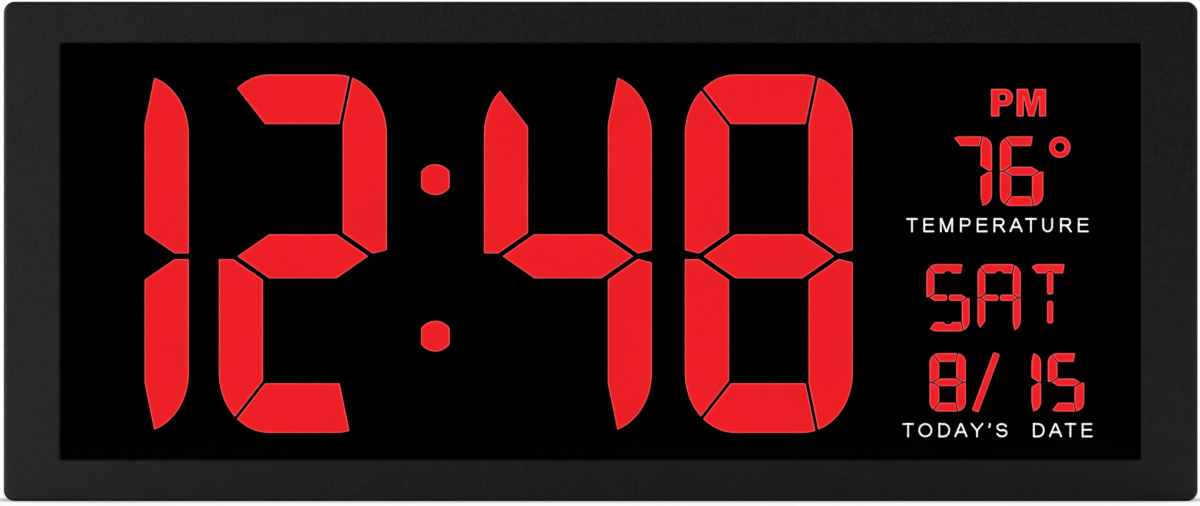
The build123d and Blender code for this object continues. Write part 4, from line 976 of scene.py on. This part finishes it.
@dataclass
class Window(SubAssembly):
    """The smoked pane, its tape, and the captions printed on its face.

    Attributes:
        cap_height_mm: Height of the captions' capitals.
        pen_mm: Width of their strokes.
        mitre_limit: Least cosine that stretches a bend's corner, so that none becomes a spike.
        tracking: Extra space after each letter, in cap heights.
        kerning: Correction of that space between two letters.
        ink_mm: Thickness of the ink.
        caption_x_mm: Middle of both captions.
        temperature_z_mm: Foot of the upper caption's letters.
        date_z_mm: Foot of the lower caption's letters.
    """

    finishes: dict[str, Finishes] = field(
        default_factory=lambda: {"window_pane": Finishes.WINDOW, "window_tape": Finishes.TAPE}
    )
    cap_height_mm: float = 4.26
    pen_mm: float = 0.44
    mitre_limit: float = 0.35
    tracking: float = 0.28
    kerning: dict[str, float] = field(default_factory=lambda: {"AT": -0.1, "AY": -0.05})
    ink_mm: float = 0.02
    caption_x_mm: float = 122.4
    temperature_z_mm: float = 82.95
    date_z_mm: float = 19.73

    def add_stroke(self, shape: Mesh, line: list[Point], origin: Vector) -> None:
        """Draws one pen stroke as a flat ribbon with mitred bends.

        Args:
            shape: The mesh that takes it.
            line: The stroke's centre line, in metres about the origin.
            origin: Where the line's zero lies.
        """
        half = self.pen_mm * MM / 2
        points = [Vector(point) for point in line]
        sides = []
        for n, point in enumerate(points):
            before = (point - points[n - 1]).normalized() if n else None
            after = (points[n + 1] - point).normalized() if n + 1 < len(points) else None
            along = ((before or after) + (after or before)).normalized()
            across = Vector((-along.y, along.x))
            reach = half / max(self.mitre_limit, along.dot(before or after))
            sides.append((point + across * reach, point - across * reach))
        verts = [[shape.verts.new(origin + Vector((p.x, 0, p.y))) for p in pair] for pair in sides]
        for (left, right), (next_left, next_right) in zip(verts, verts[1:]):
            shape.faces.new((left, right, next_right, next_left))

    def print_caption(self, name: str, words: str, foot_z_mm: float) -> None:
        """Prints one caption on the pane's face.

        Args:
            name: Name of the piece.
            words: What it says.
            foot_z_mm: Height of the letters' feet.
        """
        glyphs = capitals(self.pen_mm / self.cap_height_mm / 2)
        starts, cursor = [], 0.0
        for letter, following in zip(words, words[1:] + " "):
            starts.append(cursor)
            cursor += glyphs[letter].advance + self.tracking
            cursor += self.kerning.get(letter + following, 0.0)
        width = cursor - self.tracking
        size = self.cap_height_mm * MM
        face_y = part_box("window_pane")[0].y - self.ink_mm * MM
        shape = bmesh.new()
        for letter, start in zip(words, starts):
            left = self.caption_x_mm * MM + (start - width / 2) * size
            origin = Vector((left, face_y, foot_z_mm * MM))
            for stroke in glyphs[letter].strokes:
                self.add_stroke(shape, [(x * size, z * size) for x, z in stroke], origin)
        thicken(shape, self.ink_mm * MM)
        make_piece(name, shape, Finishes.CAPTION_INK, ROOT_BODY)

    def add_pieces(self) -> None:
        """Prints both captions."""
        self.print_caption("temperature_caption", "TEMPERATURE", self.temperature_z_mm)
        self.print_caption("date_caption", "TODAY'S DATE", self.date_z_mm)


@dataclass
class Controls(SubAssembly):
    """Keys, dimmer and cell cap, with the marks that tell what they do.

    Attributes:
        mark_length_mm: Length of the bars of plus and minus.
        mark_width_mm: Width of those bars and of the arrow's shaft.
        mark_height_mm: How far a mark stands up.
        panel_depth_mm: Depth of the control panel below the back face.
        wedge_length_mm: Length of the brightness wedge under the dimmer.
        wedge_rise_mm: Height of its tall end.
        wedge_drop_mm: How far it lies below the dimmer's middle.
        arrow_radius_mm: Radius of the arrow that shows which way the cap opens.
        arrow_start: Where the arrow starts, in degrees from +X towards +Z.
        arrow_end: Where its head begins.
        arrow_head_mm: Half the width of its head.
        arrow_point: Degrees from the head's base to its point.
    """

    finishes: dict[str, Finishes] = field(
        default_factory=lambda: {
            **{f"{key}_button": Finishes.KEY for key in KEYS},
            **{f"{key}_switch_stem": Finishes.SWITCH for key in KEYS},
            "dimmer_slider": Finishes.KEY,
            "battery_cap": Finishes.KEY,
        }
    )
    mark_length_mm: float = 3.4
    mark_width_mm: float = 0.7
    mark_height_mm: float = 0.1
    panel_depth_mm: float = 2.5
    wedge_length_mm: float = 9.0
    wedge_rise_mm: float = 1.8
    wedge_drop_mm: float = 5.2
    arrow_radius_mm: float = 10.4
    arrow_start: float = 118.0
    arrow_end: float = 68.0
    arrow_head_mm: float = 1.2
    arrow_point: float = 12.0

    def add_mark(self, name: str, outline: list[Point], centre: Vector, body: str, slot: str) -> None:
        """Raises a mark on a face that looks back.

        Args:
            name: Name of the piece.
            outline: The mark's corners about its centre, in millimetres.
            centre: Where that centre lies, in metres.
            body: The moving body that carries it.
            slot: Not used.
        """
        shape = bmesh.new()
        corners = [shape.verts.new(centre + Vector((x * MM, 0, z * MM))) for x, z in outline]
        shape.faces.new(corners)
        thicken(shape, self.mark_height_mm * MM)
        make_piece(name, shape, Finishes.MARK_INK, body)

    def mark_key(self, key: str, outline: list[Point]) -> None:
        """Raises a mark in the middle of a key's face.

        Args:
            key: The key's name.
            outline: The mark's corners about its centre, in millimetres.
        """
        low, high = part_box(f"{key}_button")
        centre = Vector(((low.x + high.x) / 2, high.y, (low.z + high.z) / 2))
        self.add_mark(f"{key}_mark", outline, centre, f"{key}_key", "button_abs")

    def plus_outline(self) -> list[Point]:
        """Draws a plus.

        Returns:
            Its corners in order, in millimetres about its middle.
        """
        long, short = self.mark_length_mm / 2, self.mark_width_mm / 2
        quarter = [(short, long), (short, short), (long, short)]
        turns = ((1, 0), (0, -1), (-1, 0), (0, 1))
        return [(x * cos - z * sin, x * sin + z * cos) for cos, sin in turns for x, z in quarter]

    def minus_outline(self) -> list[Point]:
        """Corners of a level bar, in millimetres about its middle."""
        long, short = self.mark_length_mm / 2, self.mark_width_mm / 2
        return [(-long, -short), (long, -short), (long, short), (-long, short)]

    def arrow_outline(self) -> list[Point]:
        """Draws a curved arrow round the cap's axis.

        Returns:
            Its corners in order, in millimetres about that axis.
        """
        radius, half = self.arrow_radius_mm, self.mark_width_mm / 2
        outer, inner = radius + half, radius - half
        wide, narrow = radius + self.arrow_head_mm, radius - self.arrow_head_mm
        start, end = self.arrow_start, self.arrow_end
        tip = on_circle(radius, end - self.arrow_point)
        outside = bow((0, 0), (outer, outer), start, end)
        head = [on_circle(wide, end), tip, on_circle(narrow, end)]
        return outside + head + bow((0, 0), (inner, inner), end, start)

    def mark_dimmer(self) -> None:
        """Prints a wedge under the dimmer that grows towards the bright end."""
        low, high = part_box("dimmer_slider")
        panel_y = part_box("rear_cover")[1].y - self.panel_depth_mm * MM
        drop = self.wedge_drop_mm * MM
        centre = Vector(((low.x + high.x) / 2, panel_y, (low.z + high.z) / 2 - drop))
        half = self.wedge_length_mm / 2
        wedge = [(-half, 0), (half, 0), (half, self.wedge_rise_mm)]
        self.add_mark("dimmer_wedge", wedge, centre, ROOT_BODY, "black_abs")

    def mark_cap(self) -> None:
        """Raises the arrow on the cell's cap."""
        low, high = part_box("battery_cap")
        centre = Vector(((low.x + high.x) / 2, high.y, (low.z + high.z) / 2))
        self.add_mark("cap_arrow", self.arrow_outline(), centre, "battery_cap", "button_abs")

    def add_pieces(self) -> None:
        """Marks the stepping keys, the dimmer and the cap."""
        self.mark_key("plus", self.plus_outline())
        self.mark_key("minus", self.minus_outline())
        self.mark_dimmer()
        self.mark_cap()


# ---- studio
@dataclass(frozen=True)
class Lamp:
    """One soft square lamp aimed at the clock.

    Attributes:
        name: Name of the lamp.
        place: Where it hangs, in metres.
        size: Length of its side, in metres.
        power: Its power in watts.
    """

    name: str
    place: tuple[float, float, float]
    size: float
    power: float

    def hang(self, aim: Vector) -> None:
        """Hangs the lamp so that it faces a point.

        Args:
            aim: The point, in metres.
        """
        data = bpy.data.lights.new(self.name, "AREA")
        data.shape = "SQUARE"
        data.size = self.size
        data.energy = self.power
        lamp = bpy.data.objects.new(self.name, data)
        lamp.location = self.place
        lamp.rotation_euler = (aim - Vector(self.place)).to_track_quat("-Z", "Y").to_euler()
        bpy.context.scene.collection.objects.link(lamp)
        log.info("%s: %.0f W", self.name, self.power)


@dataclass
class Studio:
    """Camera, pale floor, lamps and surroundings.

    Attributes:
        view_width: Width of the view at the clock's face, in metres.
        view_x: Middle of the view.
        view_z: Height of the view's middle, and of the camera.
        camera_distance: From the clock's face to the camera, in metres.
        sensor_mm: Width of the camera's sensor.
        sight: How far the camera sees, in metres.
        floor_front: Front edge of the floor, before the clock.
        floor_back: Back edge of the floor.
        floor_side: Half its width.
        floor_colour: Colour of the floor.
        floor_lift: How far the eye sees the floor lifted towards white beside the clock.
        floor_fade: Distances from the clock between which the floor turns wholly white.
        shadow_reach: How far from the clock its contact shadow spreads.
        shadow_sky: Shares of open sky at which that shadow is deepest and has gone.
        shadow_depth: Brightness of the floor where the shadow is deepest.
        ambient: Light from all round.
        ambient_front: The same from straight ahead, kept low so that the pane stays black.
        front_cone: Cosines from straight ahead at which the low light ends and the full begins.
        backdrop_edge: Cosine from straight behind at which the white backdrop begins.
        lamps: The studio's lamps.
    """

    view_width: float = 0.3697
    view_x: float = -0.0002
    view_z: float = 0.0765
    camera_distance: float = 2.5
    sensor_mm: float = 36.0
    sight: float = 20.0
    floor_front: float = 0.42
    floor_back: float = 0.9
    floor_side: float = 0.9
    floor_colour: str = "#f2f2f2"
    floor_lift: float = 0.97
    floor_fade: tuple[float, float] = (0.3, 0.75)
    shadow_reach: float = 0.045
    shadow_sky: tuple[float, float] = (0.5, 0.86)
    shadow_depth: float = 0.5
    ambient: float = 0.12
    ambient_front: float = 0.004
    front_cone: tuple[float, float] = (0.85, 0.2)
    backdrop_edge: float = 0.3
    lamps: tuple[Lamp, ...] = (
        Lamp("key_lamp", (-1.5, -2.0, 0.4), size=0.8, power=16.0),
        Lamp("fill_lamp", (1.9, -1.8, 0.6), size=0.8, power=5.0),
        Lamp("rear_key_lamp", (1.2, 1.7, 1.4), size=0.9, power=34.0),
        Lamp("rear_fill_lamp", (-1.6, 1.2, 0.7), size=0.9, power=14.0),
    )

    def place_camera(self) -> None:
        """Puts the camera straight in front, far enough to show hardly any perspective."""
        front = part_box("front_bezel")[0].y
        data = bpy.data.cameras.new("camera")
        data.sensor_width = self.sensor_mm
        data.sensor_fit = "HORIZONTAL"
        data.lens = self.sensor_mm * self.camera_distance / self.view_width
        data.clip_end = self.sight
        camera = bpy.data.objects.new("camera", data)
        camera.location = (self.view_x, front - self.camera_distance, self.view_z)
        camera.rotation_euler = (math.radians(90), 0, 0)
        bpy.context.scene.collection.objects.link(camera)
        bpy.context.scene.camera = camera

    def floor_paper(self) -> bpy.types.Material:
        """Pale paper that the eye sees lifted towards white, with a painted contact shadow of the
        clock.

        Returns:
            The floor's material.
        """
        material = bpy.data.materials.new("studio_floor")
        tree = empty_tree(material)
        paper = add_node(tree, "ShaderNodeBsdfDiffuse", {"Color": linear(self.floor_colour)})
        # Painted shadow: ambient occlusion dims the white that the eye sees where the clock stands
        # close.
        sky = add_node(
            tree,
            "ShaderNodeAmbientOcclusion",
            {"Distance": self.shadow_reach},
            output="AO",
            samples=SKY_RAYS,
        )
        deepest, gone = self.shadow_sky
        shadow = add_node(
            tree,
            "ShaderNodeMapRange",
            {"Value": sky, "From Min": deepest, "From Max": gone, "To Min": self.shadow_depth},
        )
        lift = add_node(tree, "ShaderNodeEmission", {"Color": linear(WHITE), "Strength": shadow})
        spot = add_node(tree, "ShaderNodeNewGeometry", output="Position")
        distance = add_node(
            tree, "ShaderNodeVectorMath", {0: spot}, output="Value", operation="LENGTH"
        )
        near, far = self.floor_fade
        lifted = add_node(
            tree,
            "ShaderNodeMapRange",
            {"Value": distance, "From Min": near, "From Max": far, "To Min": self.floor_lift},
            interpolation_type="SMOOTHSTEP",
        )
        seen = add_node(tree, "ShaderNodeLightPath", output="Is Camera Ray")
        share = add_node(tree, "ShaderNodeMath", {0: seen, 1: lifted}, operation="MULTIPLY")
        mixed = add_node(tree, "ShaderNodeMixShader", {0: share, 1: paper, 2: lift})
        add_node(tree, "ShaderNodeOutputMaterial", {"Surface": mixed})
        return material

    def lay_floor(self) -> None:
        """Lays the paper under the clock."""
        shape = bmesh.new()
        side, front, back = self.floor_side, -self.floor_front, self.floor_back
        corners = ((-side, front), (side, front), (side, back), (-side, back))
        shape.faces.new([shape.verts.new((x, y, 0.0)) for x, y in corners])
        floor = add_mesh("studio_floor", shape, self.floor_paper())

    def light_surroundings(self) -> None:
        """Soft grey light, hardly any from straight ahead, and a white backdrop behind.

        The eye sees white wherever it looks past the clock, and gloss and glass see it behind them.
        """
        world = bpy.data.worlds.new("studio_world")
        bpy.context.scene.world = world
        tree = empty_tree(world)
        direction = add_node(tree, "ShaderNodeTexCoord", output="Generated")
        ahead = add_node(tree, "ShaderNodeSeparateXYZ", {0: direction}, output="Y")
        near, far = self.front_cone
        cone = {"From Min": -near, "From Max": -far}
        level = add_node(
            tree,
            "ShaderNodeMapRange",
            {"Value": ahead, **cone, "To Min": self.ambient_front, "To Max": self.ambient},
            interpolation_type="SMOOTHSTEP",
        )
        soft = add_node(tree, "ShaderNodeBackground", {"Color": linear(WHITE), "Strength": level})
        white = add_node(tree, "ShaderNodeBackground", {"Color": linear(WHITE), "Strength": 1.0})
        seen = add_node(tree, "ShaderNodeLightPath", output="Is Camera Ray")
        glossy = add_node(tree, "ShaderNodeLightPath", output="Is Glossy Ray")
        through = add_node(tree, "ShaderNodeLightPath", output="Is Transmission Ray")
        mirrored = add_node(tree, "ShaderNodeMath", {0: glossy, 1: through}, operation="MAXIMUM")
        behind = add_node(
            tree, "ShaderNodeMath", {0: ahead, 1: self.backdrop_edge}, operation="GREATER_THAN"
        )
        share = add_node(
            tree,
            "ShaderNodeMath",
            {0: mirrored, 1: behind, 2: seen},
            operation="MULTIPLY_ADD",
            use_clamp=True,
        )
        mixed = add_node(tree, "ShaderNodeMixShader", {0: share, 1: soft, 2: white})
        add_node(tree, "ShaderNodeOutputWorld", {"Surface": mixed})

    def build(self) -> None:
        """Sets up camera, floor and light."""
        bpy.context.scene.view_settings.view_transform = "Standard"
        self.place_camera()
        self.lay_floor()
        self.light_surroundings()
        for lamp in self.lamps:
            lamp.hang(Vector((0, 0, self.view_z)))


def main() -> None:
    """Builds the sub-assemblies in order."""
    logging.basicConfig(level=logging.INFO, format="%(name)s %(message)s")
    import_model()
    for part in (Housing(), Window(), Display(), ControlBoard(), Controls(), Legs()):
        part.build()
    Studio().build()
    bpy.context.view_layer.update()


if __name__ == "__main__":
    main()
